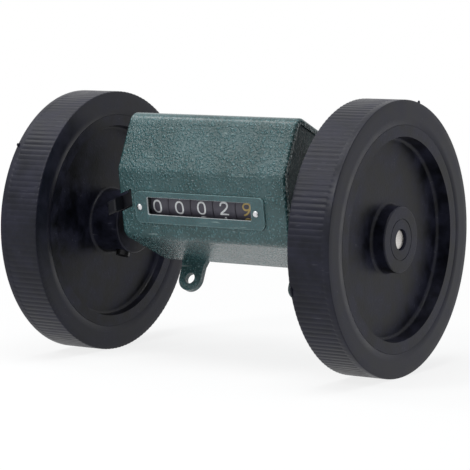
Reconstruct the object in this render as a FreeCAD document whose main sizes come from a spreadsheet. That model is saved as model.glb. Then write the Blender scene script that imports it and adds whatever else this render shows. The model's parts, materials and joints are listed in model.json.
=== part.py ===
import FreeCAD, Part
import Sketcher
import math
import os

# Cable length counter: two ribbed rubber wheels on one shaft, and between them
# a cast housing with five number drums behind a window.
#
# Row frame: the origin is on the wheel shaft, midway between the wheels. +X runs along the
# shaft to the driven end, +Y to the back, +Z up, with the window facing -Y.
# Box frame: the same origin, turned about X by the tilt, so that the housing's
# floor, back and roof are square. Its axes are x, u (to the back) and v (up).
# Window frame: x, t (up the window face) and w (out of it), from the foot of that face.

DIMENSIONS = {
    # wheels
    "wheel_radius": 53.05,
    "wheel_width": 17.7,
    "wheel_stand": 19.25,
    "tread_base": 0.55,
    "tread_edge": 2.6,
    "tread_ribs": 144,
    "tyre_seat": 43.5,
    "rim_lip": 39.1,
    "outer_recess": 5.95,
    "inner_recess": 3.75,
    "hub_radius": 12.8,
    "hub_reach": 10.2,
    "hub_bore": 4.1,
    "fillet_web": 1.4,
    "seam_groove": 0.5,
    "ring_radius": 7.7,
    "ring_depth": 0.2,
    # screws in the hubs
    "hub_screw": 2.0,
    "hub_screw_head": 2.75,
    "hub_screw_rise": 1.7,
    "hub_screw_key": 1.44,
    "hub_screw_inset": 3.4,
    "hub_screw_turn": 160.0,
    "hub_seat": 0.6,
    # shaft
    "shaft_radius": 4.0,
    "shaft_inset": 1.0,
    "shaft_chamfer": 0.5,
    # housing
    "tilt": 23.5,
    "box_length": 78.0,
    "box_depth": 47.6,
    "box_height": 48.3,
    "shaft_back": 15.1,
    "shaft_bottom": 11.1,
    "window_top": 22.9,
    "window_foot": 14.4,
    "wall": 2.5,
    "corner_front": 5.0,
    "corner_back": 3.4,
    "edge_round": 1.1,
    # ears
    "ear_width": 10.4,
    "ear_drop": 7.3,
    "ear_thickness": 2.5,
    "ear_hole": 2.25,
    "ear_left": -24.4,
    "ear_right": 28.0,
    # end plates
    "plate_thickness": 2.5,
    "plate_inset": 0.4,
    "plate_gap": 0.12,
    "boss_radius": 2.8,
    "boss_inset": 2.2,
    "screw_radius": 1.5,
    "screw_length": 8.0,
    "screw_head": 2.7,
    "bush_radius": 6.0,
    "bush_flange": 8.0,
    "bush_length": 5.0,
    "running_gap": 0.03,
    # window
    "drum_radius": 10.0,
    "drum_clear": 0.5,
    "drum_height": 12.6,
    "drum_pitch": 10.55,
    "drum_offset": -2.1,
    "drum_gap": 0.2,
    "drum_cavity": 2.8,
    "rim_thickness": 1.05,
    "bezel_width": 60.3,
    "bezel_height": 12.6,
    "bezel_drop": 0.6,
    "bezel_thickness": 0.8,
    "bezel_corner": 2.2,
    "opening_width": 48.8,
    "opening_height": 7.1,
    "opening_shift": 1.15,
    "opening_margin": 0.5,
    "opening_corner": 0.7,
    "rivet_radius": 1.25,
    "rivet_spacing": 54.65,
    "rivet_shift": 0.8,
    # number train
    "train_relief": 0.03,
    "carrier_clear": 0.36,
    "drum_teeth": 20,
    "pinion_teeth": 6,
    "pinion_angle": 115.0,
    "pinion_pin": 0.8,
    "rod_radius": 1.5,
    # reduction from the shaft to the lowest drum
    "drum_gear_room": 0.46,
    "shaft_teeth": 24,
    "idler_teeth": 36,
    "idler_pinion_teeth": 15,
    "drum_gear_teeth": 30,
    "gear_face": 2.4,
    # frame plates
    "frame_left_space": 7.5,
    "frame_right_space": 10.8,
    "frame_thickness": 1.5,
    "frame_top": 27.0,
    # reset slide
    "slot_slant": 24.0,
    "slot_right": -33.1,
    "slot_centre": 15.7,
    "slot_height": 7.2,
    "pad_clearance": 0.9,
    "pad_width": 4.2,
    "pad_proud": 2.6,
    "slide_thickness": 1.8,
    "reset_travel": 5.0,
    "bar_clear": 0.4,
    "bar_thickness": 1.4,
}

# Sizes that follow from the ones above: the wheels and frame plates keep their distance from the
# box's ends, and both trains of gears fill the drums' rim.
DERIVED = {
    "wheel_gap": "=box_length + 2 * wheel_stand",
    "frame_left": "=frame_left_space - box_length / 2",
    "frame_right": "=box_length / 2 - frame_right_space",
    "drum_setback": "=wall + drum_clear",
    "train_module": "=(drum_radius - rim_thickness - train_relief) / (drum_teeth / 2 + 1.15)",
    "gear_module": "=(drum_radius - drum_gear_room) / (drum_gear_teeth / 2 + 0.9)",
}

doc = FreeCAD.newDocument("cable_length_counter")
dims = doc.addObject("Spreadsheet::Sheet", "dims")
for row, (alias, value) in enumerate((DIMENSIONS | DERIVED).items(), start=1):
    dims.set(f"A{row}", alias)
    dims.set(f"B{row}", str(value))
    dims.setAlias(f"B{row}", alias)
doc.recompute()


def size(alias):
    """A driving dimension, read back from the sheet."""
    return float(dims.get(alias))


def value_of(expression):
    """The number that an expression on the sheet gives now."""
    result = dims.evalExpression(expression)
    return float(getattr(result, "Value", result))


TILT = size("tilt")
BACK = "dims.shaft_back"
FLOOR = "(-dims.shaft_bottom)"
ROOF = "(dims.box_height - dims.shaft_bottom)"
FRONT = "(dims.shaft_back - dims.box_depth)"
LEAN = "atan(dims.window_foot / dims.window_top)"
HALF = "(dims.box_length / 2)"
RIM_HALF = "((dims.drum_pitch - dims.drum_gap) / 2)"
WHEEL_IN = "(dims.wheel_gap / 2)"
WHEEL_OUT = "(dims.wheel_gap / 2 + dims.wheel_width)"
LEAN_ANGLE = math.degrees(math.atan(size("window_foot") / size("window_top")))

box_turn = FreeCAD.Rotation(FreeCAD.Vector(1, 0, 0), -TILT)
box_frame = FreeCAD.Placement(FreeCAD.Vector(0, 0, 0), box_turn)
window_base = FreeCAD.Vector(0, value_of(f"{FRONT} + dims.window_foot"), value_of(FLOOR))
window_turn = FreeCAD.Rotation(FreeCAD.Vector(1, 0, 0), 90 + LEAN_ANGLE)
window_in_box = FreeCAD.Placement(window_base, window_turn)
window_frame = box_frame.multiply(window_in_box)
screw_turn = FreeCAD.Rotation(FreeCAD.Vector(1, 0, 0), size("hub_screw_turn"))
screw_frame = FreeCAD.Placement(FreeCAD.Vector(0, 0, 0), screw_turn)

# Axes of the turning pieces, as points in the box frame.
drum_depth = -size("drum_setback") - size("drum_radius")
DRUM_AXIS = window_in_box.multVec(FreeCAD.Vector(0, size("drum_height"), drum_depth))
shaft_to_drum = math.hypot(DRUM_AXIS.y, DRUM_AXIS.z)
shaft_to_idler = size("gear_module") * (size("shaft_teeth") + size("idler_teeth")) / 2
idler_to_drum = size("gear_module") * (size("idler_pinion_teeth") + size("drum_gear_teeth")) / 2
swing = math.acos((shaft_to_drum**2 + shaft_to_idler**2 - idler_to_drum**2)
                  / (2 * shaft_to_drum * shaft_to_idler))
idler_angle = math.atan2(DRUM_AXIS.z, DRUM_AXIS.y) - swing
IDLER_AXIS = FreeCAD.Vector(0, math.cos(idler_angle), math.sin(idler_angle)) * shaft_to_idler
drum_to_pinion = size("train_module") * (size("drum_teeth") - size("pinion_teeth")) / 2
pinion_turn = math.radians(size("pinion_angle"))
PINION_OFFSET = FreeCAD.Vector(0, math.cos(pinion_turn), math.sin(pinion_turn)) * drum_to_pinion
PINION_AXIS = DRUM_AXIS + PINION_OFFSET
SHAFT_AXIS = FreeCAD.Vector(0, 0, 0)

parts = {}


def at_axis(axis):
    """Placement of a piece whose own X axis is the given axis of the box frame."""
    return box_frame.multiply(FreeCAD.Placement(axis, FreeCAD.Rotation()))


def keep(thing, label, placement=None):
    """Name a finished sub-part and put it in its place."""
    thing.Label = label
    if placement is not None:
        thing.Placement = placement
    parts[label] = thing
    return thing


def new_body(name):
    return doc.addObject("PartDesign::Body", name + "_body")


def new_sketch(body, role, offset="0"):
    """A sketch on one of the body's origin planes, moved along the plane's normal."""
    sketch = body.newObject("Sketcher::SketchObject", "sketch")
    plane = [f for f in body.Origin.OriginFeatures if f.Role == role][0]
    sketch.AttachmentSupport = (plane, [""])
    sketch.MapMode = "FlatFace"
    sketch.setExpression("AttachmentOffset.Base.z", offset)
    return sketch


def window_sketch(body):
    """A sketch in the window frame, for a body that lies in the box frame."""
    sketch = body.newObject("Sketcher::SketchObject", "window_sketch")
    plane = [f for f in body.Origin.OriginFeatures if f.Role == "XY_Plane"][0]
    sketch.AttachmentSupport = (plane, [""])
    sketch.MapMode = "FlatFace"
    sketch.AttachmentOffset = window_in_box
    return sketch


def pin_point(sketch, edge, end, x, y):
    """Hold one point of an edge at expressions for its x and y."""
    for kind, text in (("DistanceX", x), ("DistanceY", y)):
        index = sketch.addConstraint(
            Sketcher.Constraint(kind, -1, 1, edge, end, value_of(text)))
        sketch.setExpression(f"Constraints[{index}]", text)


def polygon(sketch, points):
    """A closed outline through points given as pairs of expressions."""
    first = sketch.GeometryCount
    count = len(points)
    spots = [FreeCAD.Vector(value_of(x), value_of(y), 0) for x, y in points]
    for i in range(count):
        sketch.addGeometry(Part.LineSegment(spots[i], spots[(i + 1) % count]), False)
    for i in range(count):
        sketch.addConstraint(
            Sketcher.Constraint("Coincident", first + i, 2, first + (i + 1) % count, 1))
    for i, (x, y) in enumerate(points):
        pin_point(sketch, first + i, 1, x, y)


def circle(sketch, x, y, radius):
    """A circle whose centre and radius are expressions."""
    index = sketch.GeometryCount
    centre = FreeCAD.Vector(value_of(x), value_of(y), 0)
    sketch.addGeometry(Part.Circle(centre, FreeCAD.Vector(0, 0, 1), value_of(radius)), False)
    pin_point(sketch, index, 3, x, y)
    held = sketch.addConstraint(Sketcher.Constraint("Radius", index, value_of(radius)))
    sketch.setExpression(f"Constraints[{held}]", radius)


def rounded_rectangle(sketch, x, y, width, height, radius):
    """A rectangle with round corners about a centre, all expressions."""
    first = sketch.GeometryCount
    cx, cy = value_of(x), value_of(y)
    half_x, half_y, r = value_of(width) / 2, value_of(height) / 2, value_of(radius)
    corners = ((1, 1, 0), (-1, 1, 90), (-1, -1, 180), (1, -1, 270))
    for side_x, side_y, start in corners:
        centre = FreeCAD.Vector(cx + side_x * (half_x - r), cy + side_y * (half_y - r), 0)
        ring = Part.Circle(centre, FreeCAD.Vector(0, 0, 1), r)
        arc = Part.ArcOfCircle(ring, math.radians(start), math.radians(start + 90))
        sketch.addGeometry(arc, False)
    for i in range(4):
        a = sketch.Geometry[first + i].EndPoint
        b = sketch.Geometry[first + (i + 1) % 4].StartPoint
        sketch.addGeometry(Part.LineSegment(a, b), False)
        sketch.addConstraint(Sketcher.Constraint("Coincident", first + i, 2, first + 4 + i, 1))
        sketch.addConstraint(
            Sketcher.Constraint("Coincident", first + 4 + i, 2, first + (i + 1) % 4, 1))
    for i, (side_x, side_y, start) in enumerate(corners):
        mid_x = f"({x}) + {side_x} * (({width}) / 2 - ({radius}))"
        mid_y = f"({y}) + {side_y} * (({height}) / 2 - ({radius}))"
        pin_point(sketch, first + i, 3, mid_x, mid_y)
        flat_x = f"{mid_x} + {round(math.cos(math.radians(start)))} * ({radius})"
        flat_y = f"{mid_y} + {round(math.sin(math.radians(start)))} * ({radius})"
        pin_point(sketch, first + i, 1, flat_x, flat_y)
        ends_level = start in (90, 270)
        kind, text = ("DistanceY", mid_y) if ends_level else ("DistanceX", mid_x)
        held = sketch.addConstraint(
            Sketcher.Constraint(kind, -1, 1, first + i, 2, value_of(text)))
        sketch.setExpression(f"Constraints[{held}]", text)


def pad(body, sketch, length):
    feature = body.newObject("PartDesign::Pad", "pad")
    feature.Profile = sketch
    feature.setExpression("Length", length)
    doc.recompute()
    return feature


def pocket(body, sketch, depth):
    """Cut from the sketch's plane against its normal, and make sure that it cut."""
    before = body.Shape.Volume
    feature = body.newObject("PartDesign::Pocket", "pocket")
    feature.Profile = sketch
    feature.setExpression("Length", depth)
    doc.recompute()
    if not feature.Shape.Volume < before - 0.01:
        raise RuntimeError(f"{body.Name}: {feature.Name} cuts nothing")
    return feature


def revolve(body, points):
    """Turn an outline of (x, radius) expressions about the X axis."""
    sketch = new_sketch(body, "XY_Plane")
    polygon(sketch, points)
    feature = body.newObject("PartDesign::Revolution", "revolution")
    feature.Profile = sketch
    feature.ReferenceAxis = (sketch, ["H_Axis"])
    feature.Angle = 360
    doc.recompute()
    return feature


def fillet(body, radius, wanted):
    """Round the edges of the body's tip for which wanted(edge) is true."""
    base = body.Tip
    names = [f"Edge{i}" for i, e in enumerate(base.Shape.Edges, start=1) if wanted(e)]
    if not names:
        raise RuntimeError(f"{body.Name}: no edge to round")
    feature = body.newObject("PartDesign::Fillet", "fillet")
    feature.Base = (base, names)
    feature.setExpression("Radius", radius)
    doc.recompute()
    return feature


def ring(name, x_from, x_to, bore, radius):
    """A plain turned ring or bush as a body."""
    body = new_body(name)
    revolve(body, [(x_from, bore), (x_to, bore), (x_to, radius), (x_from, radius)])
    return body


def rod(label, x_from, x_to, radius, axis):
    """A plain round rod along X."""
    thing = doc.addObject("Part::Cylinder", label)
    thing.setExpression("Radius", radius)
    thing.setExpression("Height", f"({x_to}) - ({x_from})")
    along_x = FreeCAD.Rotation(FreeCAD.Vector(0, 1, 0), 90)
    start = FreeCAD.Placement(axis + FreeCAD.Vector(value_of(x_from), 0, 0), along_x)
    return keep(thing, label, box_frame.multiply(start))


def housing_outline(inset, top=ROOF, back=BACK):
    """The housing's five-sided outline in the box frame, drawn in by an inset."""
    crease = f"({FLOOR} + (({inset}) + (dims.window_foot - ({inset})) * cos({LEAN})) / sin({LEAN}))"
    foot = f"({FRONT} + dims.window_foot + ({inset}) * (1 - sin({LEAN})) / cos({LEAN}))"
    return [
        (f"{back} - ({inset})", f"{FLOOR} + ({inset})"),
        (f"{back} - ({inset})", f"{top} - ({inset})"),
        (f"{FRONT} + ({inset})", f"{top} - ({inset})"),
        (f"{FRONT} + ({inset})", crease),
        (foot, f"{FLOOR} + ({inset})"),
    ]


def runs_along_x(edge, u, v):
    """True for a long edge parallel to X that passes through (u, v)."""
    if len(edge.Vertexes) != 2:
        return False
    a, b = edge.Vertexes[0].Point, edge.Vertexes[1].Point
    near = abs(a.y - u) < 0.01 and abs(a.z - v) < 0.01
    return near and abs(abs(a.x - b.x) - size("box_length")) < 0.01


BOSS_SPOTS = [
    (f"{BACK} - dims.wall - dims.boss_inset", f"{FLOOR} + dims.wall + dims.boss_inset"),
    (f"{BACK} - dims.wall - dims.boss_inset", f"{ROOF} - dims.wall - dims.boss_inset"),
    ("(-8)", f"{ROOF} - dims.wall - dims.boss_inset"),
]
PLATE_OUT = "(dims.box_length / 2 - dims.plate_inset)"
PLATE_IN = "(dims.box_length / 2 - dims.plate_inset - dims.plate_thickness)"
WINDOW_X = "(dims.drum_offset + dims.opening_shift)"
WINDOW_T = "(dims.drum_height + 0.2)"
BEZEL_T = f"({WINDOW_T} - dims.bezel_drop)"


def housing_shell():
    """Cast tunnel with a window, a reset slot, three screw bosses and two ears."""
    body = new_body("housing_shell")
    sketch = new_sketch(body, "YZ_Plane", f"-{HALF}")
    outline = housing_outline("0")
    polygon(sketch, outline)
    pad(body, sketch, "dims.box_length")
    spots = [(value_of(x), value_of(y)) for x, y in outline]
    back_spots, front_spots = spots[:2], spots[2:]
    fillet(body, "dims.corner_front",
           lambda e: any(runs_along_x(e, u, v) for u, v in front_spots))
    fillet(body, "dims.corner_back",
           lambda e: any(runs_along_x(e, u, v) for u, v in back_spots))
    half = value_of(HALF)

    def on_end(edge):
        return all(abs(abs(v.Point.x) - half) < 0.01 for v in edge.Vertexes)

    fillet(body, "dims.edge_round", on_end)
    hollow = new_sketch(body, "YZ_Plane", HALF)
    outline = housing_outline("dims.wall")
    polygon(hollow, outline)
    pocket(body, hollow, "dims.box_length")
    spots = [(value_of(x), value_of(y)) for x, y in outline]
    back_spots, front_spots = spots[:2], spots[2:]
    fillet(body, "dims.corner_front - dims.wall",
           lambda e: any(runs_along_x(e, u, v) for u, v in front_spots))
    fillet(body, "dims.corner_back - dims.wall",
           lambda e: any(runs_along_x(e, u, v) for u, v in back_spots))
    bosses = new_sketch(body, "YZ_Plane", f"-{PLATE_IN} + 0.1")
    for u, v in BOSS_SPOTS:
        circle(bosses, u, v, "dims.boss_radius")
    pad(body, bosses, f"2 * ({PLATE_IN} - 0.1)")
    for side in (1, -1):
        offset = f"{PLATE_IN} - 0.1"
        if side < 0:
            offset = f"-{PLATE_IN} + 0.1 + dims.screw_length"
        holes = new_sketch(body, "YZ_Plane", offset)
        for u, v in BOSS_SPOTS:
            circle(holes, u, v, "dims.screw_radius - 0.2")
        pocket(body, holes, "dims.screw_length")
    window = window_sketch(body)
    rounded_rectangle(window, WINDOW_X, WINDOW_T,
                      "dims.opening_width + 2 * dims.opening_margin",
                      "dims.opening_height + 2 * dims.opening_margin",
                      "dims.opening_corner + dims.opening_margin")
    pocket(body, window, "dims.wall + 1")
    notch = window_sketch(body)
    polygon(notch, slot_outline("0"))
    pocket(body, notch, "dims.wall + 0.4")
    for inner, radius in (("dims.wall + 0.5", "dims.screw_radius + 0.1"), ("1.3", "2.8")):
        holes = new_sketch(body, "XZ_Plane", f"-({BACK} - ({inner}))")
        for x in STAY_SCREWS:
            circle(holes, x, str((STAY_LOW + STAY_HIGH) / 2), radius)
        pocket(body, holes, "dims.wall + 1")
    for x in ("dims.ear_left", "dims.ear_right"):
        ear(body, x)
    return keep(body, "housing_shell", box_frame)


def slot_outline(margin):
    """The slanted reset slot in the window frame, open past the left end."""
    left = f"(-{HALF} - 1)"
    rise = f"(dims.slot_right - ({margin}) - {left}) * tan(dims.slot_slant * 1 deg)"
    low = f"dims.slot_centre - dims.slot_height / 2 + ({margin})"
    high = f"dims.slot_centre + dims.slot_height / 2 - ({margin})"
    right = f"dims.slot_right - ({margin})"
    return [(right, low), (right, high), (left, f"{high} - {rise}"), (left, f"{low} - {rise}")]


def ear(body, x):
    """A round-ended ear that stands square on the floor at the housing's back."""
    sketch = new_sketch(body, "XZ_Plane", f"-{BACK}")
    half = "dims.ear_width / 2"
    level = f"{FLOOR} - dims.ear_drop"
    root = f"{FLOOR} + dims.wall / 2"
    spread = f"{FLOOR} - 2"
    left = [(f"{x} - {half}", level), (f"{x} - {half}", spread),
            (f"{x} - {half} - 1", root)]
    right = [(f"{x} + {half} + 1", root), (f"{x} + {half}", spread), (f"{x} + {half}", level)]
    chain = left + right
    spots = [FreeCAD.Vector(value_of(a), value_of(b), 0) for a, b in chain]
    for i in range(len(chain) - 1):
        sketch.addGeometry(Part.LineSegment(spots[i], spots[i + 1]), False)
    centre = FreeCAD.Vector(value_of(x), value_of(level), 0)
    end = Part.Circle(centre, FreeCAD.Vector(0, 0, 1), value_of(half))
    sketch.addGeometry(Part.ArcOfCircle(end, math.pi, 2 * math.pi), False)
    arc = len(chain) - 1
    for i in range(arc - 1):
        sketch.addConstraint(Sketcher.Constraint("Coincident", i, 2, i + 1, 1))
    sketch.addConstraint(Sketcher.Constraint("Coincident", arc, 1, 0, 1))
    sketch.addConstraint(Sketcher.Constraint("Coincident", arc, 2, arc - 1, 2))
    for i, (a, b) in enumerate(chain[:-1]):
        pin_point(sketch, i, 1, a, b)
    pin_point(sketch, arc - 1, 2, *chain[-1])
    held = sketch.addConstraint(
        Sketcher.Constraint("DistanceY", -1, 1, arc, 3, value_of(level)))
    sketch.setExpression(f"Constraints[{held}]", level)
    circle(sketch, x, level, "dims.ear_hole")
    pad(body, sketch, "dims.ear_thickness")


def end_plate(label, side):
    """Inset plate that closes one end of the tunnel and holds a shaft bush."""
    body = new_body(label)
    start = PLATE_IN if side > 0 else f"-{PLATE_OUT}"
    sketch = new_sketch(body, "YZ_Plane", start)
    polygon(sketch, housing_outline("dims.wall + dims.plate_gap"))
    circle(sketch, "0", "0", "dims.bush_radius")
    for u, v in BOSS_SPOTS:
        circle(sketch, u, v, "dims.screw_radius + 0.1")
    pad(body, sketch, "dims.plate_thickness")
    corners = [(value_of(a), value_of(b))
               for a, b in housing_outline("dims.wall + dims.plate_gap")]

    def corner_edge(edge, spots):
        point = edge.Vertexes[0].Point
        across = abs(edge.Vertexes[0].Point.x - edge.Vertexes[-1].Point.x)
        near = any(math.hypot(point.y - u, point.z - v) < 0.01 for u, v in spots)
        return near and across > 0.5 * size("plate_thickness")

    fillet(body, "dims.corner_front - dims.wall", lambda e: corner_edge(e, corners[2:]))
    fillet(body, "dims.corner_back - dims.wall + 0.1", lambda e: corner_edge(e, corners[:2]))
    if side < 0:
        slide_relief(body, f"-{HALF}", "11.5", "16")
    else:
        socket = new_sketch(body, "YZ_Plane", f"{PLATE_IN} + 1.7")
        circle(socket, str(IDLER_AXIS.y), str(IDLER_AXIS.z), "dims.rod_radius + dims.running_gap")
        pocket(body, socket, "1.7")
    return keep(body, label, box_frame)


def end_bush(label, side):
    """Flanged plain bush that carries the shaft in an end plate."""
    body = new_body(label)
    inner = f"{side} * ({PLATE_OUT} - dims.bush_length)"
    face = f"{side} * {PLATE_OUT}"
    outer = f"{side} * ({PLATE_OUT} + 1)"
    bore = "dims.shaft_radius + dims.running_gap"
    revolve(body, [(inner, bore), (outer, bore), (outer, "dims.bush_flange"),
                   (face, "dims.bush_flange"), (face, "dims.bush_radius"),
                   (inner, "dims.bush_radius")])
    return keep(body, label, box_frame)


def plate_screws():
    """Six countersunk screws, three in each end plate."""
    screws = []
    for side in (1, -1):
        for u, v in BOSS_SPOTS:
            body = new_body("screw")
            head = f"{side} * ({PLATE_OUT} - 0.3)"
            neck = f"{side} * ({PLATE_OUT} - 0.3 - 0.6)"
            tip = f"{side} * ({PLATE_OUT} - dims.screw_length)"
            revolve(body, [(tip, "0"), (head, "0"), (head, "dims.screw_radius + 0.05"),
                           (neck, "dims.screw_radius + 0.05"), (neck, "dims.screw_radius - 0.25"),
                           (tip, "dims.screw_radius - 0.25")])
            spot = FreeCAD.Vector(0, value_of(u), value_of(v))
            body.Placement = at_axis(spot)
            screws.append(body)
    group = doc.addObject("Part::Compound", "plate_screws")
    group.Links = screws
    return keep(group, "plate_screws")


def rivet_x(side):
    """Place of a rivet along the shaft."""
    return f"{WINDOW_X} - dims.rivet_shift + {side} * dims.rivet_spacing / 2"


def window_bezel():
    """Thin riveted plate round the window."""
    body = new_body("window_bezel")
    sketch = new_sketch(body, "XY_Plane")
    rounded_rectangle(sketch, WINDOW_X, BEZEL_T, "dims.bezel_width", "dims.bezel_height",
                      "dims.bezel_corner")
    rounded_rectangle(sketch, WINDOW_X, WINDOW_T, "dims.opening_width", "dims.opening_height",
                      "dims.opening_corner")
    for side in (-1, 1):
        circle(sketch, rivet_x(side), BEZEL_T,
               "dims.rivet_radius - 0.5")
    pad(body, sketch, "dims.bezel_thickness")
    return keep(body, "window_bezel", window_frame)


def bezel_rivets():
    """Two domed rivets that hold the bezel."""
    rivets = []
    for side in (-1, 1):
        body = new_body("rivet")
        sketch = new_sketch(body, "XZ_Plane")
        top = "dims.bezel_thickness"
        polygon(sketch, [("0", "0.02"), ("dims.rivet_radius - 0.52", "0.02"),
                         ("dims.rivet_radius - 0.52", top), ("dims.rivet_radius", top),
                         ("dims.rivet_radius", f"{top} + 0.25"),
                         ("dims.rivet_radius * 0.7", f"{top} + 0.6"),
                         ("0", f"{top} + 0.75")])
        feature = body.newObject("PartDesign::Revolution", "revolution")
        feature.Profile = sketch
        feature.ReferenceAxis = (sketch, ["V_Axis"])
        feature.Angle = 360
        doc.recompute()
        place = FreeCAD.Vector(value_of(rivet_x(side)), value_of(BEZEL_T), 0)
        spot = FreeCAD.Placement(place, FreeCAD.Rotation())
        body.Placement = window_frame.multiply(spot)
        rivets.append(body)
    group = doc.addObject("Part::Compound", "bezel_rivets")
    group.Links = rivets
    return keep(group, "bezel_rivets")


def wheel_disc(label, side):
    """Moulded wheel centre: rim, web and a long hub, turned about the shaft."""
    body = new_body(label)
    hub_in = f"{side} * ({WHEEL_IN} - dims.hub_reach)"
    inner = f"{side} * {WHEEL_IN}"
    web_in = f"{side} * ({WHEEL_IN} + dims.inner_recess)"
    web_out = f"{side} * ({WHEEL_OUT} - dims.outer_recess)"
    outer = f"{side} * {WHEEL_OUT}"
    lip = "dims.rim_lip"
    hub = "dims.hub_radius"
    seat = "dims.tyre_seat"
    revolve(body, [
        (hub_in, "dims.hub_bore"), (outer, "dims.hub_bore"), (outer, hub),
        (web_out, hub), (web_out, f"{lip} - 0.4"), (outer, lip), (outer, seat),
        (inner, seat), (inner, lip), (web_in, f"{lip} - 0.4"), (web_in, hub), (hub_in, hub)])
    webs = (value_of(web_in), value_of(web_out))

    def web_corner(edge):
        point = edge.Vertexes[0].Point
        return len(edge.Vertexes) == 1 and any(abs(point.x - x) < 0.01 for x in webs)

    fillet(body, "dims.fillet_web", web_corner)
    ends = (value_of(hub_in), value_of(outer))

    def hub_rim(edge):
        point = edge.Vertexes[0].Point
        r = math.hypot(point.y, point.z)
        on_end = any(abs(point.x - x) < 0.01 for x in ends)
        return on_end and abs(r - size("hub_radius")) < 0.01 and len(edge.Vertexes) == 1

    fillet(body, "0.6", hub_rim)
    for reach, radius in (("dims.hub_radius + 1", "dims.hub_screw + 0.1"),
                          ("1 + dims.hub_seat", "dims.hub_screw_head + 0.2")):
        hole = new_sketch(body, "XY_Plane", "dims.hub_radius + 1")
        circle(hole, hub_screw_x(side), "0", radius)
        pocket(body, hole, reach)
    mark = new_sketch(body, "YZ_Plane", outer if side > 0 else f"{outer} + dims.ring_depth")
    circle(mark, "0", "0", "dims.ring_radius")
    circle(mark, "0", "0", "dims.ring_radius + 0.35")
    pocket(body, mark, "dims.ring_depth")
    return keep(body, label, screw_frame)


def hub_screw_x(side):
    """Place of a hub's set screw along the shaft, near the hub's inner end."""
    return f"{side} * ({WHEEL_IN} - dims.hub_reach + dims.hub_screw_inset)"


def rib_wire(radius, depth, count, x):
    """Outline of a tread: count ribs of even width whose flanks lean a little."""
    step = 2 * math.pi / count
    points = []
    for i in range(count):
        for share, level in ((-0.22, radius), (0.22, radius), (0.32, radius - depth),
                             (0.68, radius - depth)):
            angle = (i + share) * step
            points.append(FreeCAD.Vector(x, level * math.cos(angle), level * math.sin(angle)))
    return Part.makePolygon(points + [points[0]])


def prism(outline, length, bore):
    """Solid that runs along X from an outline, with a round hole down its middle."""
    start = outline.Vertexes[0].Point.x
    solid = Part.Face(outline).extrude(FreeCAD.Vector(length, 0, 0))
    low = min(start, start + length) - 1
    hole = Part.makeCylinder(bore, abs(length) + 2, FreeCAD.Vector(low, 0, 0),
                             FreeCAD.Vector(1, 0, 0))
    return solid.cut(hole)


def turned(points):
    """Solid of revolution about X from (x, radius) pairs."""
    spots = [FreeCAD.Vector(x, r, 0) for x, r in points]
    face = Part.Face(Part.makePolygon(spots + [spots[0]]))
    return face.revolve(FreeCAD.Vector(0, 0, 0), FreeCAD.Vector(1, 0, 0), 360)


def tyre(label, side):
    """Rubber tyre: ribbed tread, a plain shoulder at the outer face and a seam groove."""
    radius = size("wheel_radius")
    depth = size("tread_base")
    seat = size("tyre_seat")
    groove = size("seam_groove")
    inner = side * value_of(WHEEL_IN)
    outer = side * value_of(WHEEL_OUT)
    rib_from = inner + side * 0.6
    rib_to = outer - side * size("tread_edge")
    shoulder = radius - depth
    core = turned([(inner, seat), (outer - side * groove, seat), (outer, seat + groove),
                   (outer, radius - 1.0), (outer - side * 0.5, radius - 0.3),
                   (outer - side * 1.2, radius), (rib_to, radius), (rib_to, shoulder),
                   (rib_from, shoulder), (inner, radius - 0.9)])
    star = rib_wire(radius, depth, int(size("tread_ribs")), rib_from)
    tread = prism(star, rib_to - rib_from, shoulder - 0.8)
    thing = doc.addObject("Part::Feature", label)
    thing.Shape = core.fuse(tread)
    return keep(thing, label)


def gear_wire(teeth, module, tip, root, width, phase, x):
    """Straight-flanked gear outline; width is the tooth's width at the pitch circle."""
    pitch_radius = teeth * module / 2
    half_root = (0.5 * width + 0.30 * abs(pitch_radius - root)) / root
    half_tip = (0.5 * width - 0.42 * abs(tip - pitch_radius)) / tip
    spots = []
    for i in range(teeth):
        middle = phase + 2 * math.pi * i / teeth
        for r, a in ((root, middle - half_root), (tip, middle - half_tip),
                     (tip, middle + half_tip), (root, middle + half_root)):
            spots.append(FreeCAD.Vector(x, r * math.cos(a), r * math.sin(a)))
    return Part.makePolygon(spots + [spots[0]])


def gear(teeth, module, phase, x_from, x_to, bore, slim=0.13, addendum=0.9):
    """Spur gear solid about X with a plain bore and slim backlash on each flank."""
    pitch_radius = teeth * module / 2
    tip = pitch_radius + addendum * module
    root = pitch_radius - 1.15 * module
    width = math.pi * module / 2 - slim
    outline = gear_wire(teeth, module, tip, root, width, phase, x_from)
    return prism(outline, x_to - x_from, bore)


def ring_gear(teeth, module, phase, x_from, x_to, outer, slim=0.13, addendum=0.9):
    """Internal gear: a ring whose teeth point inward."""
    pitch_radius = teeth * module / 2
    tip = pitch_radius - addendum * module
    root = pitch_radius + 1.15 * module
    width = math.pi * module / 2 - slim
    space = prism(gear_wire(teeth, module, tip, root, width, phase, x_from - 1),
                  x_to - x_from + 2, 0.1)
    core = Part.makeCylinder(tip - 0.5, x_to - x_from + 2, FreeCAD.Vector(x_from - 1, 0, 0),
                             FreeCAD.Vector(1, 0, 0))
    disc = Part.makeCylinder(outer, x_to - x_from, FreeCAD.Vector(x_from, 0, 0),
                             FreeCAD.Vector(1, 0, 0))
    return disc.cut(space.fuse(core))


def direction(start, end):
    """Angle of one axis seen from another, in the box frame."""
    return math.atan2(end.z - start.z, end.y - start.y)


def mesh_phase(own, other, teeth, other_teeth, other_phase):
    """Phase of a gear on axis own that puts a gap where the other gear has a tooth."""
    towards_other = direction(own, other)
    towards_own = direction(other, own)
    turned_by = (towards_own - other_phase) * other_teeth / teeth
    return towards_other + turned_by + math.pi / teeth


def feature(label, shape, placement):
    thing = doc.addObject("Part::Feature", label)
    thing.Shape = shape
    return keep(thing, label, placement)


def drum_centre(index):
    """X of a number drum's rim centre; 0 is the lowest place, on the right."""
    return size("drum_offset") + (2 - index) * size("drum_pitch")


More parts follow.
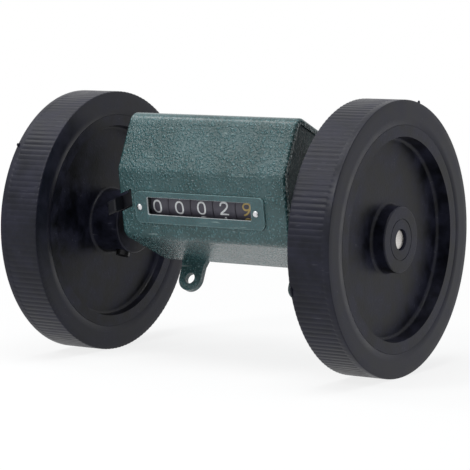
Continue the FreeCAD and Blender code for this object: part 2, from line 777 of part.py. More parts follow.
DRUM_NAMES = ["tenths_drum", "units_drum", "tens_drum", "hundreds_drum", "thousands_drum"]
TRANSFER_AWAY = 191.6


def number_drum(index):
    """Number drum: a full-width rim on a web, with the transfer teeth inside the rim."""
    centre = drum_centre(index)
    edge = value_of(RIM_HALF)
    cavity = size("drum_cavity")
    bore = size("rod_radius") + size("running_gap")
    radius = size("drum_radius")
    inside = radius - size("rim_thickness")
    left, right = centre - edge, centre + edge
    web_left, web_right = left + cavity, right - cavity + 0.3
    if index == 0:
        web_right = right
    if index == len(DRUM_NAMES) - 1:
        web_left = left + 0.6
    profile = [(web_left, bore), (web_right, bore), (web_right, inside), (right, inside),
               (right, radius - 0.2), (right - 0.2, radius), (left + 0.2, radius),
               (left, radius - 0.2), (left, inside), (web_left, inside)]
    if index == 0:
        profile = [(web_left, bore), (right, bore)] + profile[4:]
    shape = turned(profile)
    teeth = int(size("drum_teeth"))
    module = size("train_module")
    towards_pinion = direction(DRUM_AXIS, PINION_AXIS)
    if index > 0:
        shape = shape.fuse(ring_gear(teeth, module, towards_pinion, web_right, right - 0.1,
                                     radius - 0.5, 0.35, 0.8))
    if index < len(DRUM_NAMES) - 1:
        away = towards_pinion - math.radians(TRANSFER_AWAY)
        pair = ring_gear(teeth, module, away + math.pi / teeth, left + 0.1, left + 1.3,
                         radius - 0.5, 0.35, 0.8)
        wedge = Part.makeBox(1.2, 5.2, 3.6, FreeCAD.Vector(left + 0.1, -2.6, inside - 2.6))
        wedge.rotate(FreeCAD.Vector(0, 0, 0), FreeCAD.Vector(1, 0, 0), math.degrees(away) - 90)
        shape = shape.fuse(pair.common(wedge))
    return feature(DRUM_NAMES[index], shape.removeSplitter(), at_axis(DRUM_AXIS))


def transfer_pinion(index):
    """Six-tooth pinion inside the rims of two neighbouring drums."""
    gap_centre = (drum_centre(index) + drum_centre(index + 1)) / 2
    teeth = int(size("pinion_teeth"))
    phase = direction(DRUM_AXIS, PINION_AXIS) + math.pi / teeth
    shape = gear(teeth, size("train_module"), phase, gap_centre - 2.3, gap_centre + 1.4,
                 size("pinion_pin") + size("running_gap"), 0.35, 0.8)
    return feature(f"transfer_pinion_{index + 1}", shape, at_axis(PINION_AXIS))


def pinion_carrier(index):
    """Arm pressed on the drum rod between two drums, with the pin of their pinion."""
    gap_centre = (drum_centre(index) + drum_centre(index + 1)) / 2
    right = gap_centre + size("drum_gap") / 2 + size("drum_cavity") - 0.1
    left = gap_centre - size("drum_gap") / 2 - size("drum_cavity") + 0.4
    along = FreeCAD.Vector(1, 0, 0)
    rod_radius = size("rod_radius")
    pin = PINION_AXIS - DRUM_AXIS
    tip = size("train_module") * (size("pinion_teeth") / 2 + 0.8)
    sleeve = Part.makeCylinder(pin.Length - tip - size("carrier_clear"), right - left, FreeCAD.Vector(left, 0, 0), along)
    arm_from = gap_centre + 1.6
    hub = Part.makeCylinder(rod_radius + 1.1, right - arm_from,
                            FreeCAD.Vector(arm_from, 0, 0), along)
    boss = Part.makeCylinder(1.7, right - arm_from, FreeCAD.Vector(arm_from, 0, 0) + pin, along)
    pin_rod = Part.makeCylinder(size("pinion_pin"), right - left - 0.2,
                                FreeCAD.Vector(left + 0.2, 0, 0) + pin, along)
    arm = Part.makeBox(right - arm_from, 3.0, pin.Length, FreeCAD.Vector(arm_from, -1.5, 0))
    arm.rotate(FreeCAD.Vector(0, 0, 0), along, math.degrees(math.atan2(pin.z, pin.y)) - 90)
    bore = Part.makeCylinder(rod_radius, right - left + 2, FreeCAD.Vector(left - 1, 0, 0), along)
    shape = sleeve.fuse([hub, boss, pin_rod, arm]).cut(bore).removeSplitter()
    return feature(f"pinion_carrier_{index + 1}", shape, at_axis(DRUM_AXIS))


def reduction_gears():
    """Shaft gear, idler gear and its pinion, and the gear on the lowest drum, in mesh."""
    module = size("gear_module")
    face = size("gear_face")
    frame_out = value_of("dims.frame_right + dims.frame_thickness")
    outboard = frame_out + 0.8
    rod_bore = size("rod_radius")
    shaft_teeth = int(size("shaft_teeth"))
    idler_teeth = int(size("idler_teeth"))
    small_teeth = int(size("idler_pinion_teeth"))
    drum_teeth = int(size("drum_gear_teeth"))
    shaft_gear = gear(shaft_teeth, module, 0, outboard, outboard + face, size("shaft_radius"))
    feature("shaft_gear", shaft_gear, at_axis(SHAFT_AXIS))
    idler_phase = mesh_phase(IDLER_AXIS, SHAFT_AXIS, idler_teeth, shaft_teeth, 0)
    idler = gear(idler_teeth, module, idler_phase, outboard, outboard + face, rod_bore)
    feature("idler_gear", idler, at_axis(IDLER_AXIS))
    inboard = drum_centre(0) + value_of(RIM_HALF)
    small = gear(small_teeth, module, 0, inboard + 0.3, inboard + face + 0.3, rod_bore)
    feature("idler_pinion", small, at_axis(IDLER_AXIS))
    drum_phase = mesh_phase(DRUM_AXIS, IDLER_AXIS, drum_teeth, small_teeth, 0)
    on_drum = gear(drum_teeth, module, drum_phase, inboard, inboard + face,
                   rod_bore + size("running_gap"))
    feature("drum_gear", on_drum, at_axis(DRUM_AXIS))
    rod("idler_arbor", f"{inboard - 0.6}", f"{PLATE_IN} + 1.4", "dims.rod_radius", IDLER_AXIS)


def frame_plate(label, start, is_right):
    """Steel plate across the tunnel that carries the drum rod."""
    body = new_body(label)
    sketch = new_sketch(body, "YZ_Plane", start)
    back = f"({BACK} - dims.boss_inset - dims.boss_radius - 0.2)"
    polygon(sketch, housing_outline("dims.wall + 0.4", "dims.frame_top", back))
    circle(sketch, "0", "0", "dims.shaft_radius + 1")
    circle(sketch, str(DRUM_AXIS.y), str(DRUM_AXIS.z), "dims.rod_radius")
    if is_right:
        circle(sketch, str(IDLER_AXIS.y), str(IDLER_AXIS.z), "dims.rod_radius + dims.running_gap")
    circle(sketch, str(SPACER_SPOT.y), str(SPACER_SPOT.z), "1")
    pad(body, sketch, "dims.frame_thickness")
    slot = new_sketch(body, "YZ_Plane", f"{start} + dims.frame_thickness")
    bar = bar_corners(0.35)
    polygon(slot, [(str(p.y), str(p.z)) for p in bar])
    pocket(body, slot, "dims.frame_thickness")
    if not is_right:
        slide_relief(body, start, "15.5", "24")
    return keep(body, label, box_frame)


def slide_relief(body, x, middle, height):
    """Cut a plate back behind the window wall, so that the reset slide can pass."""
    relief = window_sketch(body)
    relief.AttachmentOffset = window_in_box.multiply(
        FreeCAD.Placement(FreeCAD.Vector(0, 0, 0.1 - size("wall")), FreeCAD.Rotation()))
    rounded_rectangle(relief, x, middle, "8", height, "1")
    pocket(body, relief, "dims.slide_thickness + 0.8")


SPACER_SPOT = FreeCAD.Vector(0, value_of(f"{FRONT} + 7.5"), value_of(f"{ROOF} - 16.7"))
STAY_LOW, STAY_HIGH = 14.0, 20.0
BAR_LOW = value_of("dims.drum_height + 8.3")
BAR_HIGH = BAR_LOW + 4.7
BAR_OUT = -value_of("dims.wall + dims.slide_thickness + dims.bar_clear")
BAR_IN = BAR_OUT - size("bar_thickness")


def bar_corners(margin):
    """Corners of the reset bar's section in the box frame, grown by a margin."""
    corners = ((BAR_LOW - margin, BAR_IN - margin), (BAR_LOW - margin, BAR_OUT + margin),
               (BAR_HIGH + margin, BAR_OUT + margin), (BAR_HIGH + margin, BAR_IN - margin))
    return [window_in_box.multVec(FreeCAD.Vector(0, t, w)) for t, w in corners]


def frame_spacer():
    """Rod that holds the frame plates apart at the front, with reduced ends."""
    body = new_body("frame_spacer")
    left_in = "dims.frame_left + dims.frame_thickness"
    right_out = "dims.frame_right + dims.frame_thickness"
    revolve(body, [("dims.frame_left", "0"), (right_out, "0"), (right_out, "1"),
                   ("dims.frame_right", "1"), ("dims.frame_right", "1.9"), (left_in, "1.9"),
                   (left_in, "1"), ("dims.frame_left", "1")])
    return keep(body, "frame_spacer", at_axis(SPACER_SPOT))


STAY_SCREWS = ("(-18)", "18")
STAY_BACK = f"({BACK} - dims.wall - 0.1)"


def frame_stay():
    """Bar between the frame plates that two screws pull against the back wall."""
    body = new_body("frame_stay")
    sketch = new_sketch(body, "XZ_Plane", f"-{STAY_BACK}")
    left = "dims.frame_left + dims.frame_thickness"
    polygon(sketch, [(left, str(STAY_LOW)), ("dims.frame_right", str(STAY_LOW)),
                     ("dims.frame_right", str(STAY_HIGH)), (left, str(STAY_HIGH))])
    pad(body, sketch, "8.3")
    holes = new_sketch(body, "XZ_Plane", f"-({STAY_BACK} - 6.5)")
    for x in STAY_SCREWS:
        circle(holes, x, str((STAY_LOW + STAY_HIGH) / 2), "dims.screw_radius - 0.2")
    pocket(body, holes, "7")
    return keep(body, "frame_stay", box_frame)


def stay_screws():
    """Two pan-head screws, sunk in the back wall, that hold the stay."""
    screws = []
    turn = FreeCAD.Rotation(FreeCAD.Vector(0, 0, 1), 90)
    for x in STAY_SCREWS:
        body = new_body("stay_screw")
        thread = "dims.screw_radius - 0.25"
        revolve(body, [("-8", "0"), ("-0.25", "0"), ("-0.25", "2"), ("-0.55", "2.45"),
                       ("-1.25", "2.45"), ("-1.25", thread), ("-8", thread)])
        slot = new_sketch(body, "XY_Plane", "5")
        polygon(slot, [("-0.8", "-0.35"), ("0", "-0.35"), ("0", "0.35"), ("-0.8", "0.35")])
        pocket(body, slot, "10")
        spot = FreeCAD.Vector(value_of(x), value_of(BACK), (STAY_LOW + STAY_HIGH) / 2)
        body.Placement = box_frame.multiply(FreeCAD.Placement(spot, turn))
        screws.append(body)
    group = doc.addObject("Part::Compound", "stay_screws")
    group.Links = screws
    return keep(group, "stay_screws")


def rod_clips():
    """Retaining rings on the ends of the drum rod."""
    clips = []
    ends = (("dims.frame_left - 0.7", "dims.frame_left"),
            ("dims.frame_right + dims.frame_thickness",
             "dims.frame_right + dims.frame_thickness + 0.6"))
    for x_from, x_to in ends:
        body = ring("clip", x_from, x_to, "dims.rod_radius", "dims.rod_radius + 1.4")
        body.Placement = at_axis(DRUM_AXIS)
        clips.append(body)
    group = doc.addObject("Part::Compound", "rod_clips")
    group.Links = clips
    return keep(group, "rod_clips")


def main_shaft():
    """Steel shaft with chamfered ends, a little inside the wheel hubs."""
    body = new_body("main_shaft")
    end = f"({WHEEL_OUT} - dims.shaft_inset)"
    r = "dims.shaft_radius"
    c = "dims.shaft_chamfer"
    revolve(body, [(f"-{end}", "0"), (end, "0"), (end, f"{r} - {c}"), (f"{end} - {c}", r),
                   (f"-{end} + {c}", r), (f"-{end}", f"{r} - {c}")])
    return keep(body, "main_shaft")


def shaft_collars():
    """Two collars that hold the shaft endways against the bushes."""
    collars = []
    for side in (1, -1):
        near = f"{side} * ({PLATE_OUT} + 1.25)"
        far = f"{side} * ({PLATE_OUT} + 5.25)"
        collars.append(ring("collar", near, far, "dims.shaft_radius", "7.4"))
    group = doc.addObject("Part::Compound", "shaft_collars")
    group.Links = collars
    return keep(group, "shaft_collars")


def hub_screws():
    """One socket head screw in each wheel hub, its point on the shaft."""
    screws = []
    for side in (1, -1):
        body = new_body("hub_screw")
        x = hub_screw_x(side)
        sketch = new_sketch(body, "XY_Plane", "dims.shaft_radius")
        circle(sketch, x, "0", "dims.hub_screw")
        pad(body, sketch, "dims.hub_radius - dims.hub_seat - dims.shaft_radius + 0.1")
        head = new_sketch(body, "XY_Plane", "dims.hub_radius - dims.hub_seat")
        circle(head, x, "0", "dims.hub_screw_head")
        pad(body, head, "dims.hub_seat + dims.hub_screw_rise")
        socket = new_sketch(body, "XY_Plane", "dims.hub_radius + dims.hub_screw_rise")
        corners = [math.radians(60 * k) for k in range(6)]
        polygon(socket, [(f"{x} + dims.hub_screw_key * {math.cos(a):.6f}",
                          f"dims.hub_screw_key * {math.sin(a):.6f}") for a in corners])
        pocket(body, socket, "1.4")
        body.Placement = screw_frame
        screws.append(body)
    group = doc.addObject("Part::Compound", "hub_screws")
    group.Links = screws
    return keep(group, "hub_screws")


PAD_LEFT = "(-dims.box_length / 2 - 0.6 - dims.pad_width)"
PAD_RIGHT = "(-dims.box_length / 2 - 0.6)"
SLIDE_RIGHT = "(-dims.box_length / 2 + 4.4)"
ARM_LEFT = f"(-{PLATE_IN} + 0.2)"
ARM_RIGHT = f"(-{PLATE_IN} + 3.8)"
PIN_X = f"(-{PLATE_IN} + 2.5)"


def slot_level(x, high):
    """Height of the slide's slanted upper or lower edge at x, in the window frame."""
    sign = "+" if high else "-"
    half = f"(dims.slot_height / 2 - dims.pad_clearance)"
    fall = f"(dims.slot_right - {x}) * tan(dims.slot_slant * 1 deg)"
    return f"(dims.slot_centre {sign} {half} - {fall})"


def reset_slide():
    """Plastic slide: thumb pad outside, plate behind the wall, and a pin that drives the bar."""
    body = new_body("reset_slide")
    back = "(-dims.wall - 0.2 - dims.slide_thickness)"
    base = new_sketch(body, "XY_Plane", back)
    polygon(base, [
        (PAD_LEFT, slot_level(PAD_LEFT, False)), (SLIDE_RIGHT, slot_level(SLIDE_RIGHT, False)),
        (SLIDE_RIGHT, str(BAR_LOW - 2.3)), (ARM_RIGHT, str(BAR_LOW - 2.3)),
        (ARM_RIGHT, str(BAR_LOW + 2.9)), (ARM_LEFT, str(BAR_LOW + 2.9)),
        (ARM_LEFT, slot_level(ARM_LEFT, True)), (PAD_LEFT, slot_level(PAD_LEFT, True))])
    pad(body, base, "dims.slide_thickness")
    head = new_sketch(body, "XY_Plane", back)
    polygon(head, [(PAD_LEFT, slot_level(PAD_LEFT, False)),
                   (PAD_RIGHT, slot_level(PAD_RIGHT, False)),
                   (PAD_RIGHT, slot_level(PAD_RIGHT, True)),
                   (PAD_LEFT, slot_level(PAD_LEFT, True))])
    pad(body, head, "dims.slide_thickness + 0.2 + dims.wall + dims.pad_proud")
    top = value_of("dims.pad_proud")

    def pad_rim(edge):
        return all(abs(v.Point.z - top) < 0.01 for v in edge.Vertexes)

    fillet(body, "0.8", pad_rim)
    pin = new_sketch(body, "XY_Plane", str(BAR_IN))
    circle(pin, PIN_X, str(BAR_LOW + 1.4), "0.75")
    pad(body, pin, f"{BAR_OUT - BAR_IN} + 0.4")
    return keep(body, "reset_slide", window_frame)


def reset_bar():
    """Steel bar behind the window's upper edge, with one finger for each drum."""
    body = new_body("reset_bar")
    sketch = new_sketch(body, "XY_Plane", str(BAR_IN))
    left = f"(-{PLATE_IN} + 0.9)"
    right = "(dims.frame_right - 1)"
    outline = [(left, str(BAR_HIGH)), (left, str(BAR_LOW))]
    for index in reversed(range(len(DRUM_NAMES))):
        start = f"(dims.drum_offset + {2 - index} * dims.drum_pitch - 3)"
        outline += [(start, str(BAR_LOW)), (f"{start} + 0.8", str(BAR_LOW - 0.5)),
                    (f"{start} + 1.6", str(BAR_LOW - 0.5)), (f"{start} + 1.6", str(BAR_LOW))]
    outline += [(right, str(BAR_LOW)), (right, str(BAR_HIGH))]
    polygon(sketch, outline)
    pin = f"({PIN_X})"
    low, high = str(BAR_LOW + 0.55), str(BAR_HIGH - 0.45)
    polygon(sketch, [(f"{pin} - 0.8", low), (f"{pin} + 0.8", low),
                     (f"{pin} + 0.8", high), (f"{pin} - 0.8", high)])
    pad(body, sketch, str(BAR_OUT - BAR_IN))
    tab = new_sketch(body, "XY_Plane", str(BAR_IN - 3.2))
    low, high = str(BAR_LOW + 1.8), str(BAR_HIGH - 0.2)
    polygon(tab, [(SPRING_LEFT, low), (SPRING_LEFT, high), (f"{SPRING_LEFT} - 0.8", high),
                  (f"{SPRING_LEFT} - 0.8", low)])
    pad(body, tab, "3.3")
    return keep(body, "reset_bar", window_frame)


SPRING_LEFT = "(dims.frame_right - 8)"
SPRING_T, SPRING_W = BAR_LOW + 3.1, BAR_IN - 1.8


def reset_spring():
    """Coil spring between the bar's tab and the right frame plate."""
    left = value_of(SPRING_LEFT)
    length = size("frame_right") - left
    wire = 0.25
    coil = Part.makeHelix(1.5, length - 2 * wire - 0.1, 1.1)
    section = Part.Wire(Part.makeCircle(wire, FreeCAD.Vector(1.1, 0, 0),
                                        FreeCAD.Vector(0, 1, 0)))
    shape = Part.Wire(coil).makePipeShell([section], True, True)
    turn = FreeCAD.Rotation(FreeCAD.Vector(0, 1, 0), 90)
    spot = FreeCAD.Placement(FreeCAD.Vector(left + wire + 0.05, SPRING_T, SPRING_W), turn)
    return feature("reset_spring", shape, window_frame.multiply(spot))


def slide_keeper():
    """Bracket on the left end plate that keeps the slide against the wall."""
    body = new_body("slide_keeper")
    face = f"(-{PLATE_IN} + 0.05)"
    sheet = new_sketch(body, "XY_Plane", str(BAR_IN + 0.7))
    polygon(sheet, [(face, "5"), (f"{face} + 3.9", "5"), (f"{face} + 3.9", "18.2"),
                    (face, "18.2")])
    pad(body, sheet, "0.6")
    flange = new_sketch(body, "XY_Plane", str(BAR_IN - 2.3))
    polygon(flange, [(face, "5"), (f"{face} + 0.7", "5"), (f"{face} + 0.7", "18.2"),
                     (face, "18.2")])
    pad(body, flange, "3.1")
    return keep(body, "slide_keeper", window_frame)


def build():
    housing_shell()
    end_plate("right_end_plate", 1)
    end_plate("left_end_plate", -1)
    end_bush("right_bush", 1)
    end_bush("left_bush", -1)
    plate_screws()
    window_bezel()
    bezel_rivets()
    frame_plate("left_frame_plate", "dims.frame_left", False)
    frame_plate("right_frame_plate", "dims.frame_right", True)
    frame_spacer()
    frame_stay()
    stay_screws()
    rod("drum_rod", "dims.frame_left - 1.2", "dims.frame_right + dims.frame_thickness + 0.7",
        "dims.rod_radius", DRUM_AXIS)
    rod_clips()
    main_shaft()
    shaft_collars()
    hub_screws()
    for label, side in (("right", 1), ("left", -1)):
        wheel_disc(label + "_wheel", side)
        tyre(label + "_tyre", side)
    reduction_gears()
    for index in range(len(DRUM_NAMES)):
        number_drum(index)
    for index in range(len(DRUM_NAMES) - 1):
        transfer_pinion(index)
        pinion_carrier(index)
    reset_slide()
    slide_keeper()
    reset_bar()
    reset_spring()


def check_and_write():
    """Refuse failed objects and broken shapes, then write one STEP file per sub-part."""
    doc.recompute()
    for thing in doc.Objects:
        if "Invalid" in thing.State or "Error" in thing.State:
            raise RuntimeError(f"{thing.Label} failed: {thing.State}")
    for label, thing in parts.items():
        shape = thing.Shape
        if shape.isNull() or not shape.isValid():
            raise RuntimeError(f"{label} has a broken shape")
    os.makedirs("parts", exist_ok=True)
    for label, thing in parts.items():
        thing.Shape.exportStep(f"parts/{label}.step")
        print(label, len(thing.Shape.Solids), round(thing.Shape.Volume, 1))


build()
check_and_write()
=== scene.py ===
# %% [markdown]
# # A cable length counter
# Cable is pulled over two ribbed rubber wheels. They share one shaft, and the shaft turns a row
# of five number drums inside a cast, hammertone painted housing. The solids and the joints are
# already made, so this notebook adds what solids leave out: the rounded ribs of the treads, the
# painted digits, a wound coil for the return spring, and a finish for every piece.

# %% load the imported model and note its box
import bpy
import json
import math
import numpy as np
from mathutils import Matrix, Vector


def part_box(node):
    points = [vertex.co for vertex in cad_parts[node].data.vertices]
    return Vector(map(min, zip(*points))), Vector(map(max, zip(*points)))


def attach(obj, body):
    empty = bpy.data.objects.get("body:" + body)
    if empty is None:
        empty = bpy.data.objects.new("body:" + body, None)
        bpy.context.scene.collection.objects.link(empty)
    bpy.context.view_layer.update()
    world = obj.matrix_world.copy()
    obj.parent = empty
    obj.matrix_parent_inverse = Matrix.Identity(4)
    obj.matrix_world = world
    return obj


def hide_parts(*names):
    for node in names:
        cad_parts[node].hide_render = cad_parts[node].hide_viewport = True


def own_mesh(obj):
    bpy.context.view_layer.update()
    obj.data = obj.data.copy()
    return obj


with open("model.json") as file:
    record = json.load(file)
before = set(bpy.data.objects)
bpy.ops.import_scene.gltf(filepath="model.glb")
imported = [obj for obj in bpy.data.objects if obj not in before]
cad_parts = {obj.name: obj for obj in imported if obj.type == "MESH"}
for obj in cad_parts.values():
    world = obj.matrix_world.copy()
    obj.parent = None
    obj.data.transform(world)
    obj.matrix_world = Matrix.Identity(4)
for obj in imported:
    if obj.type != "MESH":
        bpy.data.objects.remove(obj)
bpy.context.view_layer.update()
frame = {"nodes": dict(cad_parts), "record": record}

# %% [markdown]
# ## Camera
# The counter is seen from the front and a third of the way round to its driven end, a little
# above the shaft, through a long lens from almost a metre away. The place and the lens were
# worked out from the ellipses of the four wheel rims. A long lens keeps the two wheels nearly
# the same size, as here, where a short one would swell the nearer wheel.

# %% set the camera
camera = bpy.data.objects.new("camera", bpy.data.cameras.new("camera"))
bpy.context.scene.collection.objects.link(camera)
camera.location = (0.50217, -0.75524, 0.09305)
camera.rotation_euler = (math.radians(90 - 6.02), 0, math.radians(33.6))
camera.data.sensor_width = 36
camera.data.lens = 175.95
bpy.context.scene.camera = camera
print("camera distance, m:", round(camera.location.length, 3))

# %% [markdown]
# ## Light
# Dark glossy things are photographed in a white tent: light comes from all round, and every
# glossy face shows white walls. The world here does both jobs. Rays from the camera and from
# mirrors see plain white, and matt surfaces get a softer amount, so that the lamps can still
# give the forms a lighter and a darker side. The last lamp stands where the housing's round
# upper edge mirrors it towards the camera, which draws a light line along that edge. The
# colour is handled by the Standard transform, which leaves a written colour as it is.

# %% make the world
AMBIENT = 0.41


def seen_or_mirrored(tree):
    """1 for rays from the camera, from mirrors and through glass, and 0 for all others."""
    rays = tree.nodes.new("ShaderNodeLightPath")
    share = rays.outputs["Is Camera Ray"]
    for kind in ("Is Glossy Ray", "Is Transmission Ray"):
        either = tree.nodes.new("ShaderNodeMath")
        either.operation = "MAXIMUM"
        tree.links.new(share, either.inputs[0])
        tree.links.new(rays.outputs[kind], either.inputs[1])
        share = either.outputs[0]
    return share


bpy.context.scene.view_settings.view_transform = "Standard"
world = bpy.data.worlds.new("tent")
bpy.context.scene.world = world
world.use_nodes = True
sky = world.node_tree
sky.nodes.clear()
ambient = sky.nodes.new("ShaderNodeBackground")
ambient.inputs["Color"].default_value = (0.93, 0.97, 1.0, 1)
ambient.inputs["Strength"].default_value = AMBIENT
white = sky.nodes.new("ShaderNodeBackground")
white.inputs["Color"].default_value = (1, 1, 1, 1)
white.inputs["Strength"].default_value = 1.0
tent_light = sky.nodes.new("ShaderNodeMixShader")
sky_out = sky.nodes.new("ShaderNodeOutputWorld")
sky.links.new(seen_or_mirrored(sky), tent_light.inputs[0])
sky.links.new(ambient.outputs[0], tent_light.inputs[1])
sky.links.new(white.outputs[0], tent_light.inputs[2])
sky.links.new(tent_light.outputs[0], sky_out.inputs["Surface"])
print("world: ambient", AMBIENT, "and white where seen")


# %% add the lamps
def soft_lamp(name, place, size, watts):
    """A square lamp of the given side, in metres, that looks at the counter's centre."""
    lamp = bpy.data.lights.new(name, "AREA")
    lamp.shape = "SQUARE"
    lamp.size = size
    lamp.energy = watts
    holder = bpy.data.objects.new(name, lamp)
    bpy.context.scene.collection.objects.link(holder)
    holder.location = place
    holder.rotation_euler = (-holder.location).to_track_quat("-Z", "Y").to_euler()
    return holder


lamps = [
    soft_lamp("overhead_lamp", (0.05, -0.2, 0.95), 0.6, 5.6),
    soft_lamp("side_lamp", (1.0, -0.55, 0.35), 0.6, 0.35),
    soft_lamp("front_lamp", (-0.25, -0.62, 0.54), 0.2, 2.1),
    soft_lamp("edge_lamp", (-0.53, -0.10, 0.80), 0.25, 1.1),
]
print("lamps:", [(lamp.name, lamp.data.energy) for lamp in lamps])

# %% [markdown]
# ## Floor
# The floor is a pale sheet that the two wheels stand on. Seen by the camera, or in a glossy
# face, it is mixed with plain white, so that it melts into the background and still keeps a
# faint shadow under the wheels. Farther out it turns wholly white, which hides its edge.

# %% lay the floor
FLOOR_LEVEL = -0.05305
FLOOR_REACH = 3.0
WHITE_FROM, WHITE_TO = 0.12, 0.42
NEAR_WHITE = 0.82


def flat_disc(name, reach, level, sides=96):
    """A fan of triangles: its rim is (reach cos a, reach sin a, level) for even angles a."""
    turn = np.linspace(0, 2 * np.pi, sides, endpoint=False)
    rim = np.stack([reach * np.cos(turn), reach * np.sin(turn), np.full(sides, level)], 1)
    places = np.vstack([rim, [[0, 0, level]]])
    step = np.arange(sides)
    faces = np.stack([step, (step + 1) % sides, np.full(sides, sides)], 1)
    mesh = bpy.data.meshes.new(name)
    mesh.from_pydata(places.tolist(), [], faces.tolist())
    piece = bpy.data.objects.new(name, mesh)
    bpy.context.scene.collection.objects.link(piece)
    return piece


floor = flat_disc("floor", FLOOR_REACH, FLOOR_LEVEL)
sheet = bpy.data.materials.new("pale_floor")
sheet.use_nodes = True
paper = sheet.node_tree
paper.nodes.clear()
matt = paper.nodes.new("ShaderNodeBsdfDiffuse")
matt.inputs["Color"].default_value = (0.9, 0.9, 0.9, 1)
glow = paper.nodes.new("ShaderNodeEmission")
glow.inputs["Strength"].default_value = 1.0
place = paper.nodes.new("ShaderNodeTexCoord")
length = paper.nodes.new("ShaderNodeVectorMath")
length.operation = "LENGTH"
fade = paper.nodes.new("ShaderNodeMapRange")
fade.inputs["From Min"].default_value = WHITE_FROM
fade.inputs["From Max"].default_value = WHITE_TO
fade.inputs["To Min"].default_value = NEAR_WHITE
fade.inputs["To Max"].default_value = 1.0
share = paper.nodes.new("ShaderNodeMath")
share.operation = "MULTIPLY"
blend = paper.nodes.new("ShaderNodeMixShader")
floor_out = paper.nodes.new("ShaderNodeOutputMaterial")
paper.links.new(place.outputs["Object"], length.inputs[0])
paper.links.new(length.outputs["Value"], fade.inputs["Value"])
paper.links.new(fade.outputs["Result"], share.inputs[0])
paper.links.new(seen_or_mirrored(paper), share.inputs[1])
paper.links.new(share.outputs[0], blend.inputs[0])
paper.links.new(matt.outputs[0], blend.inputs[1])
paper.links.new(glow.outputs[0], blend.inputs[2])
paper.links.new(blend.outputs[0], floor_out.inputs["Surface"])
floor.data.materials.append(sheet)
print("floor reaches", FLOOR_REACH, "m at level", FLOOR_LEVEL)

# %% [markdown]
# ## Making surfaces
# Each new piece is a surface with two parameters, worked out as one array of points. A grid of
# points becomes a mesh when each point is joined to its neighbours. Where a direction closes on
# itself, its last column is joined to its first. The volume inside then tells whether the faces
# look outwards: it comes out negative when they look in, and their order is turned round.

# %% turn arrays of points into closed meshes
MM = 0.001


def grid_faces(rows, columns, wrap_rows=True):
    """Four-sided faces on a grid whose columns close on themselves, and its rows too if asked.
    The corners are (i, j), (i+1, j), (i+1, j+1) and (i, j+1), counted as i times columns + j."""
    i, j = np.meshgrid(
        np.arange(rows if wrap_rows else rows - 1), np.arange(columns), indexing="ij"
    )
    next_i, next_j = (i + 1) % rows, (j + 1) % columns
    corners = [i * columns + j, next_i * columns + j]
    corners += [next_i * columns + next_j, i * columns + next_j]
    return np.stack(corners, -1).reshape(-1, 4)


def end_fans(rows, columns):
    """Triangles that close a grid's two ends: the first row is joined to the point after the
    grid's last one, which has number rows times columns, and the last row to the next point."""
    step = np.arange(columns)
    first = np.stack([np.full(columns, rows * columns), step, (step + 1) % columns], 1)
    last = np.stack([np.full(columns, rows * columns + 1), (step + 1) % columns, step], 1)
    last[:, 1:] += (rows - 1) * columns
    return np.vstack([first, last])


def inner_volume(points, faces):
    """Six times the enclosed volume: the sum of a . (b x c) over the triangles of all faces."""
    a, b, c = points[faces[:, 0]], points[faces[:, 1]], points[faces[:, 2]]
    total = np.einsum("ij,ij->i", a, np.cross(b, c)).sum()
    if faces.shape[1] == 4:
        d = points[faces[:, 3]]
        total += np.einsum("ij,ij->i", a, np.cross(c, d)).sum()
    return total


def closed_piece(name, points, face_sets):
    """A smooth mesh object of points in metres, with all faces turned to look outwards."""
    volume = sum(inner_volume(points, faces) for faces in face_sets)
    if volume < 0:
        face_sets = [faces[:, ::-1] for faces in face_sets]
    mesh = bpy.data.meshes.new(name)
    mesh.from_pydata(points.tolist(), [], sum((faces.tolist() for faces in face_sets), []))
    mesh.shade_smooth()
    piece = bpy.data.objects.new(name, mesh)
    bpy.context.scene.collection.objects.link(piece)
    return piece


print("a 3 by 4 grid that wraps has", len(grid_faces(3, 4)), "faces")

# %% [markdown]
# ## Tyres
# Each wheel carries a moulded rubber tyre. Fine ribs run across its tread so that cable doesn't
# slip, and a narrow band next to the outer face is left plain. A tyre could be a lathe shape
# with a bump texture, but its outline against the background would stay a perfect circle. Here
# the ribs are real: the section of the tyre is carried round the wheel, and the tread's radius
# follows a rounded wave that has wide crests and narrow grooves.

# %% describe the tyre's section
TYRE_RADIUS = 53.05
TYRE_SEAT = 43.52
TYRE_NEAR = 58.25
TYRE_FAR = 75.95
PLAIN_BAND = 2.6
EDGE_ROUND = 0.4
FACE_RADII = (46.5, 50.0)
SEAM = 0.12
RIBS = 144
RIB_DEPTH = 0.14
RIB_FADE = 0.3
CREST_POWER = 0.4


def corner_arc(x, r, start, radius=EDGE_ROUND, steps=5):
    """A quarter circle about (x, r) that starts at the given angle, as rows of x and radius."""
    turn = start + np.linspace(0, np.pi / 2, steps)
    return np.stack([x + radius * np.cos(turn), r + radius * np.sin(turn)], 1)


